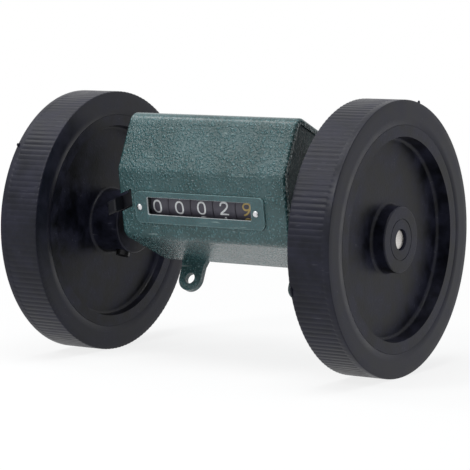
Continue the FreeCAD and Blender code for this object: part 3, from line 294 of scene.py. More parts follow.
def tyre_section():
    """The section's outline, as distance from the counter's middle and radius: the far face,
    the tread with its two rounded edges, the near face and the seat."""
    far_edge = corner_arc(TYRE_FAR - EDGE_ROUND, TYRE_RADIUS - EDGE_ROUND, 0)
    near_edge = corner_arc(TYRE_NEAR + EDGE_ROUND, TYRE_RADIUS - EDGE_ROUND, np.pi / 2)
    ribs_end = TYRE_FAR - PLAIN_BAND
    fading = [ribs_end, ribs_end - 0.4 * RIB_FADE, ribs_end - RIB_FADE]
    ribbed = np.linspace(ribs_end - 2 * RIB_FADE, TYRE_NEAR + 1.1, 5)
    tread_x = np.concatenate([fading, ribbed])
    tread = np.stack([tread_x, np.full(len(tread_x), TYRE_RADIUS)], 1)
    far_face = [[TYRE_FAR, r] for r in (TYRE_SEAT + SEAM, *FACE_RADII)]
    near_face = [[TYRE_NEAR, r] for r in (*FACE_RADII[::-1], TYRE_SEAT + SEAM)]
    seat = [[TYRE_NEAR + SEAM, TYRE_SEAT], [TYRE_FAR - SEAM, TYRE_SEAT]]
    return np.vstack([far_face, far_edge, tread, near_edge, near_face, seat])


section = tyre_section()
print("points round the section:", len(section))


# %% carry the section round the wheel
def rib_wave(turn):
    """0 on a rib's crest and 1 in the groove beside it: one minus a cosine hump, raised to a
    power under 1 that widens the crest."""
    hump = 0.5 + 0.5 * np.cos(RIBS * turn)
    return 1 - hump**CREST_POWER


def ribbed_tyre(name, side, samples=10):
    """Point (turn, s) lies at x = side * section x, and at radius = section radius - depth *
    wave(turn) * share(s), where share is 1 on the ribbed tread and fades to 0 at its edges."""
    turn = np.linspace(0, 2 * np.pi, RIBS * samples, endpoint=False)[:, None]
    x, radius = section[:, 0][None, :], section[:, 1][None, :]
    on_tread = np.clip((radius - (TYRE_RADIUS - EDGE_ROUND)) / (0.6 * EDGE_ROUND), 0, 1)
    before_band = np.clip((TYRE_FAR - PLAIN_BAND - x) / RIB_FADE, 0, 1)
    r = radius - RIB_DEPTH * rib_wave(turn) * on_tread * before_band
    points = np.stack([side * x + 0 * turn, r * np.cos(turn), r * np.sin(turn)], -1) * MM
    rows, columns = points.shape[:2]
    return closed_piece(name, points.reshape(-1, 3), [grid_faces(rows, columns)])


tyres = {}
for name, side in (("left_tread", -1), ("right_tread", 1)):
    tyres[name] = ribbed_tyre(name, side)
    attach(tyres[name], "wheelset")
    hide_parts(name.replace("tread", "tyre"))
    print(name, "faces:", len(tyres[name].data.polygons))

# %% [markdown]
# The mould's halves and gates leave small lumps of flash on a tyre's edges. Three of them show,
# so three small ellipsoids sit half in the rubber, each bent round the tyre: its third direction
# is measured along the tread and becomes an angle.

# %% add the lumps of flash
# Each row is a place along the shaft in mm, degrees round the tyre from the back over the top,
# and the half sizes along the shaft, outwards and round the tread in mm.
FLASH = [
    (-75.4, 142.0, (0.5, 1.05, 0.8)),
    (75.4, 75.0, (0.5, 1.0, 0.7)),
    (58.8, 197.0, (0.5, 0.8, 2.0)),
]


def lump(x, turn, size, rings=7, sides=14):
    """Points and faces of an ellipsoid: size * (cos a, sin a cos b, sin a sin b) is its reach
    along the shaft, outwards and round the tread, and its two poles close it."""
    a = np.linspace(0, np.pi, rings + 2)[1:-1, None]
    b = np.linspace(0, 2 * np.pi, sides, endpoint=False)[None, :]
    ball = np.stack([np.cos(a) + 0 * b, np.sin(a) * np.cos(b), np.sin(a) * np.sin(b)], -1)
    ball = np.vstack([ball.reshape(-1, 3), [[1, 0, 0], [-1, 0, 0]]]) * size
    radius, angle = TYRE_RADIUS + ball[:, 1], math.radians(turn) + ball[:, 2] / TYRE_RADIUS
    points = np.stack([x + ball[:, 0], radius * np.cos(angle), radius * np.sin(angle)], 1)
    return points, grid_faces(rings, sides, wrap_rows=False), end_fans(rings, sides)


lumps = [lump(*numbers) for numbers in FLASH]
starts = np.cumsum([0] + [len(points) for points, _, _ in lumps[:-1]])
flash = closed_piece(
    "moulding_flash",
    np.vstack([points for points, _, _ in lumps]) * MM,
    [
        np.vstack([sides + start for (_, sides, _), start in zip(lumps, starts)]),
        np.vstack([caps + start for (_, _, caps), start in zip(lumps, starts)]),
    ],
)
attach(flash, "wheelset")
print("flash faces:", len(flash.data.polygons))

# %% [markdown]
# ## Digits
# Each number drum carries the digits 0 to 9 in thin painted strokes, white on the four whole
# drums and gold on the last one, which counts tenths. A texture could show them, but a digit's
# place must follow its drum exactly, so each stroke is a very flat tube laid on the drum. The
# strokes are drawn on a flat sheet first, in millimetres, and the sheet is then wrapped round
# the drum: what was up on the sheet becomes a turn about the drum's axis.

# %% write down the strokes of the ten digits
HALF_WIDE = 1.7
HALF_TALL = 2.42


def oval(x, y, wide, tall, steps=17, power=0.85):
    """A closed oval of the given half sizes: a circle's cosine and sine, raised to a power
    under 1 that fills out the corners."""
    turn = np.linspace(0, 2 * np.pi, steps)
    ring = np.stack([np.cos(turn), np.sin(turn)], 1)
    return [x, y] + np.sign(ring) * np.abs(ring) ** power * [wide, tall]


def stroke(*pairs):
    """Points of a stroke, given as shares of the digit's half width and half height."""
    return np.array(pairs, float) * [HALF_WIDE, HALF_TALL]


DIGIT_STROKES = {
    0: [oval(0, 0, HALF_WIDE, HALF_TALL)],
    1: [stroke((-0.45, 0.55), (-0.1, 0.8), (0.12, 1.0)),
        stroke((0.12, 1.0), (0.12, 0), (0.12, -1))],
    2: [
        stroke((-0.95, 0.5), (-0.72, 0.86), (-0.05, 1.0), (0.7, 0.84), (0.95, 0.46),
               (0.62, 0.0), (-0.1, -0.46), (-0.72, -0.78), (-1, -1)),
        stroke((-1, -1), (0, -1), (1, -1)),
    ],
    3: [stroke((-0.95, 0.62), (-0.55, 0.95), (0.1, 1.0), (0.75, 0.78), (0.8, 0.36), (0.3, 0.08),
               (-0.15, 0.04), (0.45, -0.02), (0.95, -0.36), (0.85, -0.78), (0.15, -1.0),
               (-0.6, -0.94), (-1.0, -0.6))],
    4: [stroke((0.45, -1), (0.45, 0), (0.45, 1)), stroke((0.45, 1), (-0.25, 0.25), (-1, -0.5)),
        stroke((-1, -0.5), (0, -0.5), (1, -0.5))],
    5: [stroke((0.85, 1), (0, 1), (-0.75, 1)), stroke((-0.75, 1), (-0.84, 0.55), (-0.92, 0.1)),
        stroke((-0.92, 0.1), (-0.35, 0.3), (0.35, 0.24), (0.9, -0.12), (0.95, -0.55),
               (0.45, -0.93), (-0.3, -0.98), (-0.98, -0.68))],
    6: [stroke((0.7, 0.95), (0.0, 0.72), (-0.65, 0.2), (-0.95, -0.35), (-0.72, -0.85), (0, -1),
               (0.75, -0.82), (0.95, -0.42), (0.6, -0.02), (-0.1, 0.06), (-0.72, -0.14),
               (-0.95, -0.38))],
    7: [stroke((-1, 1), (0, 1), (1, 1)), stroke((1, 1), (0.35, 0.2), (-0.05, -0.4), (-0.3, -1))],
    8: [oval(0, 0.5 * HALF_TALL, 0.82 * HALF_WIDE, 0.5 * HALF_TALL),
        oval(0, -0.5 * HALF_TALL, HALF_WIDE, 0.5 * HALF_TALL)],
    9: [stroke((0.95, 0.38), (0.72, 0.14), (0.1, -0.06), (-0.6, 0.02), (-0.95, 0.42),
               (-0.75, 0.82), (0, 1), (0.72, 0.85), (0.95, 0.35), (0.65, -0.2), (0, -0.72),
               (-0.7, -0.95))],
}
print("strokes per digit:", {digit: len(lines) for digit, lines in DIGIT_STROKES.items()})


# %% draw a smooth line through the points of a stroke
def smooth_line(points, steps=6):
    """A Catmull-Rom curve: between points 1 and 2 of each four it is the cubic
    0.5 (2 p1 + (p2 - p0) s + (2 p0 - 5 p1 + 4 p2 - p3) s^2 + (3 p1 - p0 - 3 p2 + p3) s^3)."""
    if np.allclose(points[0], points[-1]):
        padded = np.vstack([points[-2], points, points[1]])
    else:
        padded = np.vstack([2 * points[0] - points[1], points, 2 * points[-1] - points[-2]])
    p0, p1, p2, p3 = (padded[k : len(padded) - 3 + k, None, :] for k in range(4))
    s = np.linspace(0, 1, steps, endpoint=False)[None, :, None]
    curve = 0.5 * (
        2 * p1 + (p2 - p0) * s + (2 * p0 - 5 * p1 + 4 * p2 - p3) * s**2
        + (3 * p1 - p0 - 3 * p2 + p3) * s**3
    )
    return np.vstack([curve.reshape(-1, 2), points[-1:]])


print("points in the smooth 2:", len(smooth_line(DIGIT_STROKES[2][0])))

# %% [markdown]
# The section of a stroke is a flat ellipse, half of it under the drum's face, and its two ends
# are round. At an end the rings shrink as a circle's chords do, down to a single point, so that
# the tube is closed.

# %% lay the strokes on a drum
DRUM_AXIS = np.array([-10.0709, 11.4522])
WINDOW_OUT = np.array([-0.98860, -0.15056])
WINDOW_UP = np.array([-0.15056, 0.98860])
DRUM_RADIUS = 10.0
STROKE_WIDE = 0.38
STROKE_HIGH = 0.045
RING = 8
CAP_RINGS = 4
CAP_TIP = 0.12


def stroke_rings(line):
    """Centres, sideways directions and sizes of the rings along a line, with round ends."""
    along = np.gradient(line, axis=0)
    along /= np.linalg.norm(along, axis=1, keepdims=True)
    cap = np.sin(np.linspace(CAP_TIP, 1, CAP_RINGS) * np.pi / 2)
    reach = np.sqrt(1 - cap**2)[:, None] * STROKE_WIDE
    start, end = line[0] - along[0] * reach, line[-1] + along[-1] * reach[::-1]
    centres = np.vstack([start, line[1:-1], end])
    first, last = (np.repeat(way, CAP_RINGS, 0) for way in (along[:1], along[-1:]))
    ways = np.vstack([first, along[1:-1], last])
    sizes = np.concatenate([cap, np.ones(len(line) - 2), cap[::-1]])
    sideways = np.stack([-ways[:, 1], ways[:, 0]], 1)
    return centres, sideways, sizes


def wrap_on_drum(flat, height, centre_x, turn):
    """Sheet point (x, y) at a height goes to x + centre_x along the axis and to the drum's
    radius + height, at the angle turn + y / radius above the line from axis to window."""
    angle = turn + flat[..., 1] / DRUM_RADIUS
    radius = DRUM_RADIUS + height
    out = DRUM_AXIS + radius[..., None] * (
        np.cos(angle)[..., None] * WINDOW_OUT + np.sin(angle)[..., None] * WINDOW_UP
    )
    return np.concatenate([(flat[..., :1] + centre_x), out], -1)


def stroke_tube(line, centre_x, turn):
    """Points and faces of one stroke: ring point k is centre + wide cos(k) sideways, at the
    height high sin(k), and one more point closes each end."""
    centres, sideways, sizes = stroke_rings(line)
    k = np.linspace(0, 2 * np.pi, RING, endpoint=False)[None, :, None]
    reach = np.cos(k) * STROKE_WIDE * sizes[:, None, None]
    flat = centres[:, None, :] + sideways[:, None, :] * reach
    height = STROKE_HIGH * np.sin(k[..., 0]) * sizes[:, None]
    tube = wrap_on_drum(flat, height, centre_x, turn).reshape(-1, 3)
    ends = wrap_on_drum(centres[[0, -1]], np.zeros(2), centre_x, turn)
    rows = len(centres)
    return np.vstack([tube, ends]), grid_faces(rows, RING, wrap_rows=False), end_fans(rows, RING)


print("rings on the foot of the 2:", len(stroke_rings(smooth_line(DIGIT_STROKES[2][1]))[0]))


# %% paint the digits of all five drums
DIGIT_STEP = 36


def drum_digits(name, centre_x, shown):
    """All ten digits of a drum. Digit d sits 36 (d - shown) degrees above the window's middle,
    so a drum that shows 1.9 has its 2 a little high."""
    points, quads, fans, count = [], [], [], 0
    for digit, lines in DIGIT_STROKES.items():
        for line in lines:
            turn = math.radians(DIGIT_STEP * ((digit - shown + 5) % 10 - 5))
            tube, sides, caps = stroke_tube(smooth_line(line), centre_x, turn)
            points.append(tube)
            quads.append(sides + count)
            fans.append(caps + count)
            count += len(tube)
    return closed_piece(name, np.vstack(points) * MM, [np.vstack(quads), np.vstack(fans)])


# Each drum's middle along the shaft in mm, and the number that stands in its window.
DRUMS = {
    "thousands": (-23.2, 0.139),
    "hundreds": (-12.65, 0.147),
    "tens": (-2.1, 0.083),
    "units": (8.45, 2.005),
    "tenths": (19.0, 9.0),
}
digits = {}
for body, (centre_x, shown) in DRUMS.items():
    digits[body] = drum_digits(body + "_digits", centre_x, shown)
    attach(digits[body], body)
    print(body, "digits:", len(digits[body].data.polygons), "faces")

# %% [markdown]
# ## Return spring
# A small coil spring between the reset bar's tab and the right frame plate pushes the bar and
# the slide back. The solid of it can't get shorter, so the tab would cut into it when the slide
# is pushed. Here the solid is hidden and a coil of round wire, wound over the same length, takes
# its place; the coil keeps one length as well. A Screw modifier could wind it too, but would
# leave its ends open.

# %% wind the spring
# All in mm: the coil's and the wire's radius, and the pitch.
SPRING_COIL = 1.1
SPRING_WIRE = 0.25
SPRING_PITCH = 1.5


def coil_spring(name, start, end, middle, steps=24, sides=8):
    """The wire's middle lies at x = start + wire + pitch a / (2 pi), and coil (cos a, sin a) from
    the axis. Round it, the skin is wire (cos k outwards + sin k square to out and along)."""
    turns = (end - start - 2 * SPRING_WIRE) / SPRING_PITCH
    a = np.linspace(0, 2 * np.pi * turns, round(turns * steps))[:, None]
    out = np.stack([0 * a, np.cos(a), np.sin(a)], -1)
    rise = SPRING_PITCH / (2 * np.pi)
    along = np.stack([0 * a + rise, -SPRING_COIL * np.sin(a), SPRING_COIL * np.cos(a)], -1)
    across = np.cross(along, out)
    across /= np.linalg.norm(across, axis=-1, keepdims=True)
    x = start + SPRING_WIRE + rise * a
    centre = np.stack([x, middle[1] + 0 * a, middle[2] + 0 * a], -1)
    line = SPRING_COIL * out + centre
    k = np.linspace(0, 2 * np.pi, sides, endpoint=False)[None, :, None]
    skin = line + SPRING_WIRE * (np.cos(k) * out + np.sin(k) * across)
    points = np.vstack([skin.reshape(-1, 3), line[[0, -1], 0]]) * MM
    faces = [grid_faces(len(a), sides, wrap_rows=False), end_fans(len(a), sides)]
    return closed_piece(name, points, faces)


low, high = (np.array(corner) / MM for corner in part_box("reset_spring"))
spring = coil_spring("spring_coil", low[0], high[0], (low + high) / 2)
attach(spring, "housing")
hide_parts("reset_spring")
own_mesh(spring)
print("spring faces:", len(spring.data.polygons))

# %% [markdown]
# ## Tools for finishes
# A finish is a tree of shader nodes. Small helpers keep the trees short. One adds a node and
# fills in its sockets, where a value is either a number or another node's output. Two are short
# forms for arithmetic and for a smooth step, and the last makes a group with named inputs and
# outputs. All patterns are measured in millimetres from the object's own coordinates, so they
# stay on the piece when it moves.


# %% helpers that add nodes and groups
def add(tree, kind, settings=None, **sockets):
    """A new node. Settings are the node's own choices. Sockets are inputs by name, with _ for a
    space, or by number after an n, and each gets a number, a colour or another output."""
    made = tree.nodes.new(kind)
    for key, value in (settings or {}).items():
        setattr(made, key, value)
    for key, value in sockets.items():
        socket = made.inputs[int(key[1:]) if key[1:].isdigit() else key.replace("_", " ")]
        if isinstance(value, bpy.types.NodeSocket):
            tree.links.new(value, socket)
        else:
            socket.default_value = value
    return made


def math_node(tree, operation, *values):
    """One step of arithmetic on numbers and outputs."""
    made = add(tree, "ShaderNodeMath", {"operation": operation})
    for socket, value in zip(made.inputs, values):
        if isinstance(value, bpy.types.NodeSocket):
            tree.links.new(value, socket)
        else:
            socket.default_value = value
    return made.outputs[0]


def ramp(tree, value, low, high, to_low=0.0, to_high=1.0):
    """A smooth step: to_low up to low, to_high from high on."""
    made = add(
        tree, "ShaderNodeMapRange", {"interpolation_type": "SMOOTHSTEP"},
        Value=value, From_Min=low, From_Max=high, To_Min=to_low, To_Max=to_high,
    )
    return made.outputs["Result"]


def new_group(name, inputs, outputs):
    """An empty group. Inputs are (name, kind, default) and outputs are (name, kind)."""
    tree = bpy.data.node_groups.new(name, "ShaderNodeTree")
    for label, kind, default in inputs:
        socket = tree.interface.new_socket(label, in_out="INPUT", socket_type=kind)
        if default is not None:
            socket.default_value = default
    for label, kind in outputs:
        tree.interface.new_socket(label, in_out="OUTPUT", socket_type=kind)
    return tree, tree.nodes.new("NodeGroupInput").outputs, tree.nodes.new("NodeGroupOutput")


FLOAT, VECTOR, COLOUR = "NodeSocketFloat", "NodeSocketVector", "NodeSocketColor"
print("helpers ready")

# %% [markdown]
# ### Hammertone
# Hammertone paint pulls together as it dries, into rounded blisters about a millimetre across
# with thin troughs between them, and its metal flakes gather on the crests. The cells come from
# a smooth Voronoi pattern whose places are shaken by noise, so that no two are alike. The group
# puts out a height for the bump, and the mask of the crests for colour and gloss.

# %% build the hammertone group
# A blister's foot and top, and a crest's edge and middle, as distances from a cell's middle.
BLISTER = (0.62, 0.08)
CREST = (0.5, 0.15)
SPECK_SHARE = 0.35
hammer, taken, given = new_group(
    "hammertone",
    [("Place", VECTOR, None), ("Cell Size", FLOAT, 1.0), ("Unevenness", FLOAT, 0.4)],
    [("Height", FLOAT), ("Crest", FLOAT), ("Drift", FLOAT)],
)
in_cells = add(hammer, "ShaderNodeVectorMath", {"operation": "SCALE"}, n0=taken["Place"])
hammer.links.new(math_node(hammer, "DIVIDE", 1000.0, taken["Cell Size"]), in_cells.inputs["Scale"])
shake = add(hammer, "ShaderNodeTexNoise", Vector=in_cells.outputs[0], Scale=0.8, Detail=1.0)
centred = add(
    hammer, "ShaderNodeVectorMath", {"operation": "SUBTRACT"},
    n0=shake.outputs["Color"], n1=(0.5, 0.5, 0.5),
)
scaled = add(hammer, "ShaderNodeVectorMath", {"operation": "SCALE"}, n0=centred.outputs[0])
hammer.links.new(math_node(hammer, "MULTIPLY", taken["Unevenness"], 3.0), scaled.inputs["Scale"])
shaken = add(
    hammer, "ShaderNodeVectorMath", {"operation": "ADD"},
    n0=in_cells.outputs[0], n1=scaled.outputs[0],
)
cells = add(
    hammer, "ShaderNodeTexVoronoi", {"feature": "SMOOTH_F1"},
    Vector=shaken.outputs[0], Scale=1.0, Smoothness=0.35,
)
blister = ramp(hammer, cells.outputs["Distance"], *BLISTER)
speck = add(hammer, "ShaderNodeTexNoise", Vector=in_cells.outputs[0], Scale=4.5, Detail=2.0)
specks = math_node(hammer, "MULTIPLY", speck.outputs["Fac"], SPECK_SHARE)
height = math_node(hammer, "ADD", blister, specks)
drift = add(hammer, "ShaderNodeTexNoise", Vector=in_cells.outputs[0], Scale=0.06, Detail=3.0)
hammer.links.new(height, given.inputs["Height"])
hammer.links.new(ramp(hammer, cells.outputs["Distance"], *CREST), given.inputs["Crest"])
hammer.links.new(drift.outputs["Fac"], given.inputs["Drift"])
print(hammer.name, "nodes:", len(hammer.nodes))

# %% [markdown]
# ### Grain, dust and scuffs
# Moulded plastic and rubber are never even: the mould leaves a fine grain, handling leaves
# short pale scuffs, and dust settles in patches. One group serves them all. Its grain is noise
# at two sizes. Its scuffs are the peaks of a noise that is stretched along the shaft, so they
# are short streaks, and they are kept only inside a few patches.

# %% build the grain and scuff group
STREAK_EDGE = (0.66, 0.74)
PATCH_EDGE = (0.5, 0.62)
SCUFF_SIZE = 6.0
grain, taken, given = new_group(
    "grain_and_scuffs",
    [
        ("Place", VECTOR, None),
        ("Grain Size", FLOAT, 0.5),
        ("Scuff Size", FLOAT, SCUFF_SIZE),
        ("Scuff Amount", FLOAT, 0.3),
    ],
    [("Height", FLOAT), ("Mottle", FLOAT), ("Scuff", FLOAT)],
)
in_mm = add(grain, "ShaderNodeVectorMath", {"operation": "SCALE"}, n0=taken["Place"], Scale=1000.0)
fine = add(grain, "ShaderNodeTexNoise", Vector=in_mm.outputs[0], Detail=3.0)
grain.links.new(math_node(grain, "DIVIDE", 1.0, taken["Grain Size"]), fine.inputs["Scale"])
broad = add(
    grain, "ShaderNodeTexNoise",
    Vector=in_mm.outputs[0], Scale=0.11, Detail=4.0, Roughness=0.6,
)
drawn_out = add(
    grain, "ShaderNodeMapping",
    Vector=in_mm.outputs[0], Rotation=(0.3, 0.5, 0.2), Scale=(0.16, 1.5, 1.5),
)
streaks = add(grain, "ShaderNodeTexNoise", Vector=drawn_out.outputs[0], Detail=1.0, Distortion=0.3)
closeness = math_node(grain, "DIVIDE", SCUFF_SIZE, taken["Scuff Size"])
grain.links.new(closeness, streaks.inputs["Scale"])
thin = ramp(grain, streaks.outputs["Fac"], *STREAK_EDGE)
patch = ramp(grain, broad.outputs["Fac"], *PATCH_EDGE)
in_patches = math_node(grain, "MULTIPLY", thin, patch)
scuff = math_node(grain, "MULTIPLY", in_patches, taken["Scuff Amount"])
grain.links.new(fine.outputs["Fac"], given.inputs["Height"])
grain.links.new(broad.outputs["Fac"], given.inputs["Mottle"])
grain.links.new(scuff, given.inputs["Scuff"])
print(grain.name, "nodes:", len(grain.nodes))


# %% [markdown]
# ### Round the window
# The window plate is stamped after it is painted, so the cut edge of its opening is bare metal.
# A pale rim along its outer edge is a painted highlight, where the edge catches the light. On the
# casting, a dark band just outside the plate is a painted contact shadow, and the walls round its
# opening are darkened as painted shade. All of these follow rectangles with round corners on the
# window's leaning plane. The group drops the object place on that plane, as x and t. With u =
# |x - middle| - half width + corner and v the same for t, the distance is the length of
# (max(u, 0), max(v, 0)) less the corner's radius. It is 0 on the rectangle, negative inside it
# and positive outside. Far behind the plane the depth counts instead, so that the back wall is
# left alone. All lengths are in millimetres.

# %% build the rectangle group
WINDOW_FOOT = (-21.025, -2.962)
RIM_DEPTH = 3.0
OPENING = dict(Middle_X=-0.95, Middle_T=12.8, Half_Width=24.4, Half_Height=3.55, Corner=0.7)
PLATE = dict(Middle_X=-0.95, Middle_T=12.2, Half_Width=30.15, Half_Height=6.3, Corner=2.2)
sizes = [(label.replace("_", " "), FLOAT, number) for label, number in OPENING.items()]
rectangle, taken, given = new_group(
    "distance_from_rectangle", [("Place", VECTOR, None), *sizes], [("Distance", FLOAT)]
)
apart = add(rectangle, "ShaderNodeSeparateXYZ", Vector=taken["Place"])
x, y, z = (math_node(rectangle, "MULTIPLY", apart.outputs[axis], 1000.0) for axis in "XYZ")
from_foot = [math_node(rectangle, "SUBTRACT", *pair) for pair in zip((y, z), WINDOW_FOOT)]


def along_way(way):
    """How far a point lies from the window's foot in the direction (way 0 in y, way 1 in z)."""
    shares = [math_node(rectangle, "MULTIPLY", *pair) for pair in zip(from_foot, way)]
    return math_node(rectangle, "ADD", *shares)


t = along_way(WINDOW_UP)
behind = along_way(-WINDOW_OUT)
squares = []
for place, middle, half in ((x, "Middle X", "Half Width"), (t, "Middle T", "Half Height")):
    offset = math_node(rectangle, "SUBTRACT", place, taken[middle])
    from_middle = math_node(rectangle, "ABSOLUTE", offset)
    straight = math_node(rectangle, "SUBTRACT", taken[half], taken["Corner"])
    overshoot = math_node(rectangle, "SUBTRACT", from_middle, straight)
    past = math_node(rectangle, "MAXIMUM", overshoot, 0.0)
    squares.append(math_node(rectangle, "MULTIPLY", past, past))
away = math_node(rectangle, "SQRT", math_node(rectangle, "ADD", *squares))
on_plane = math_node(rectangle, "SUBTRACT", away, taken["Corner"])
too_deep = math_node(rectangle, "SUBTRACT", behind, RIM_DEPTH)
distance = math_node(rectangle, "MAXIMUM", on_plane, too_deep)
rectangle.links.new(distance, given.inputs["Distance"])
print(rectangle.name, "nodes:", len(rectangle.nodes))


# %% start a material
def srgb(*levels):
    """A colour written as screen levels from 0 to 255, turned into the linear values that the
    shader needs: (c + 0.055) / 1.055 to the power 2.4, or c / 12.92 when it is very dark."""
    c = np.array(levels) / 255
    return (*np.where(c > 0.04045, ((c + 0.055) / 1.055) ** 2.4, c / 12.92).tolist(), 1.0)


def new_material(name, **sockets):
    """A material with one Principled shader. Gives its tree, its shader and object place."""
    made = bpy.data.materials.new(name)
    made.use_nodes = True
    tree = made.node_tree
    tree.nodes.clear()
    shader = add(tree, "ShaderNodeBsdfPrincipled", **sockets)
    add(tree, "ShaderNodeOutputMaterial", Surface=shader.outputs["BSDF"])
    where = add(tree, "ShaderNodeTexCoord").outputs["Object"]
    return made, tree, shader, where


def mixed(tree, share, low, high):
    """The colour between low and high at that share."""
    made = add(tree, "ShaderNodeMix", {"data_type": "RGBA"})
    tree.links.new(share, made.inputs[0])
    for socket, value in ((made.inputs[6], low), (made.inputs[7], high)):
        if isinstance(value, bpy.types.NodeSocket):
            tree.links.new(value, socket)
        else:
            socket.default_value = value
    return made.outputs[2]


def bump(tree, shader, height, depth):
    """Tilts the shading as a relief of that depth, in millimetres, would."""
    made = add(tree, "ShaderNodeBump", Height=height, Strength=1.0, Distance=depth * MM)
    tree.links.new(made.outputs["Normal"], shader.inputs["Normal"])


def use_group(tree, group, where, **sockets):
    """The group as one node, fed with the object place."""
    return add(tree, "ShaderNodeGroup", {"node_tree": group}, Place=where, **sockets).outputs


finishes = {}
print("a mid grey of 128 is", round(srgb(128, 128, 128)[0], 3), "in linear light")

# %% [markdown]
# ## Painted castings
# The housing is a die casting in dark blue-green hammertone, glossy enough that its underside
# mirrors the white floor. The gloss is the shader's own, and the pattern only tilts it. The
# blisters are tallest on the upper face. Paint draws away from a sharp edge, so they fade out
# at the top edge, which leaves it glossy, and they are low on the faces below. The window plate
# and the end plates are pressed and dipped in the same paint, where it pulls into smaller cells.
# The end plates get a darker copy of it, which is painted shade for the shadow between the wheel
# and the housing.


# %% mix the hammertone paints
TOP_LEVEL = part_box("housing_shell")[1][2]
LOWER_FACES = (0.010, 0.024)
TOP_EDGE = (TOP_LEVEL - 0.004, TOP_LEVEL - 0.001)
DRIFT_TONE = (82, 114, 118)
WORN_TONE = (150, 170, 168)
print("the housing's top is at", round(TOP_LEVEL / MM, 2), "mm")


def hammertone_paint(name, cell, depth, trough, crest, rough, rims):
    """Dark paint in the troughs and flaky paint on the crests, with a slow drift in tone. Each
    rim is a rectangle, two distances from it and a colour, and the paint turns to that colour
    between the first distance and the second. The relief grows from half to full between the
    levels of the lower faces, and falls to a tenth between those of the top edge."""
    made, tree, shader, where = new_material(name, IOR=1.5)
    pattern = use_group(tree, hammer, where, Cell_Size=cell, Unevenness=0.4)
    wear = use_group(tree, grain, where, Grain_Size=0.3, Scuff_Size=9.0, Scuff_Amount=0.5)
    paint = mixed(tree, pattern["Crest"], trough, crest)
    drifted = ramp(tree, pattern["Drift"], 0.35, 0.7, 0.0, 0.3)
    toned = mixed(tree, drifted, paint, srgb(*DRIFT_TONE))
    colour = mixed(tree, wear["Scuff"], toned, srgb(*WORN_TONE))
    for outline, start, full, rim_colour in rims:
        distance = use_group(tree, rectangle, where, **outline)["Distance"]
        colour = mixed(tree, ramp(tree, distance, start, full), colour, rim_colour)
    tree.links.new(colour, shader.inputs["Base Color"])
    gloss = ramp(tree, pattern["Crest"], 0, 1, rough + 0.08, rough)
    tree.links.new(gloss, shader.inputs["Roughness"])
    level = add(tree, "ShaderNodeSeparateXYZ", Vector=where).outputs["Z"]
    low = ramp(tree, level, *LOWER_FACES, 0.5, 1.0)
    top = ramp(tree, level, *TOP_EDGE, 1.0, 0.1)
    relief = math_node(tree, "MULTIPLY", pattern["Height"], math_node(tree, "MULTIPLY", low, top))
    bump(tree, shader, relief, depth)
    return made


# Both rims on the casting are painted: the dark band just outside the window plate is a painted
# contact shadow, and the dark walls round the opening are painted shade.
finishes["hammertone_green"] = hammertone_paint(
    "hammertone_casting", 1.05, 0.4, srgb(32, 64, 65), srgb(68, 105, 109), 0.14,
    [(PLATE, 0.32, 0.08, srgb(16, 30, 32)), (OPENING, 0.6, 0.4, srgb(14, 20, 22))],
)
# The plate's pale outer rim is a painted highlight where its edge catches the light, and its
# second rim is the bare metal of the opening's cut edge.
finishes["window_plate"] = hammertone_paint(
    "hammertone_window_plate", 0.8, 0.2, srgb(44, 74, 77), srgb(68, 104, 108), 0.2,
    [(PLATE, -0.14, -0.04, srgb(120, 152, 154)), (OPENING, 0.05, 0.035, srgb(206, 214, 216))],
)
# The end plates' paint is a darker copy of the casting's, painted shade for the shadow between
# wheel and housing.
finishes["end_plate"] = hammertone_paint(
    "hammertone_end_plate_in_shade", 0.8, 0.1, srgb(20, 40, 42), srgb(40, 66, 70), 0.3, []
)
print("paints:", list(finishes))

# %% [markdown]
# ## Rubber, plastic and drums
# Old rubber is dark grey, with a faint bloom. The wheel centres are black moulded plastic with
# a coarse grain, and the reset slide has a fine one. The drums are matt charcoal, and their
# digits are plain paint.


# %% mix the dark mouldings
MARK_SIZE = 7.0
MARK_TONE = (120, 120, 126)


def moulding(name, dark, light, rough, grain_size, depth, mark_amount, ior):
    """A moulding whose tone wanders from dark to light and whose scuffs are pale."""
    made, tree, shader, where = new_material(name, IOR=ior)
    marks = use_group(
        tree, grain, where,
        Grain_Size=grain_size, Scuff_Size=MARK_SIZE, Scuff_Amount=mark_amount,
    )
    tone = mixed(tree, ramp(tree, marks["Mottle"], 0.3, 0.72), srgb(*dark), srgb(*light))
    colour = mixed(tree, marks["Scuff"], tone, srgb(*MARK_TONE))
    tree.links.new(colour, shader.inputs["Base Color"])
    gloss = ramp(tree, marks["Mottle"], 0.25, 0.75, rough - 0.06, rough + 0.08)
    tree.links.new(gloss, shader.inputs["Roughness"])
    bump(tree, shader, marks["Height"], depth)
    return made


# Each row is the dark and the light tone, the roughness, the grain's size and depth in mm, the
# amount of scuffs and the IOR.
MOULDINGS = {
    "tread_rubber": ((11, 13, 24), (26, 27, 41), 0.38, 0.35, 0.02, 0.12, 1.3),
    "wheel_black": ((3, 4, 8), (33, 34, 48), 0.38, 0.8, 0.05, 0.2, 1.26),
    "slide_black": ((18, 19, 24), (26, 27, 33), 0.4, 0.3, 0.01, 0.2, 1.35),
    "screw_black": ((12, 12, 14), (20, 20, 22), 0.36, 0.4, 0.01, 0.1, 1.35),
    "drum_black": ((74, 72, 82), (90, 87, 97), 0.5, 0.25, 0.006, 0.1, 1.45),
    "pinion_white": ((214, 213, 205), (228, 227, 220), 0.42, 0.3, 0.006, 0.05, 1.45),
    "digit_white": ((236, 238, 240), (250, 251, 252), 0.5, 0.2, 0.004, 0.0, 1.45),
    "digit_gold": ((186, 160, 96), (206, 182, 120), 0.45, 0.2, 0.004, 0.0, 1.45),
}
for name, numbers in MOULDINGS.items():
    finishes[name] = moulding(name, *numbers)
print("mouldings:", list(MOULDINGS))

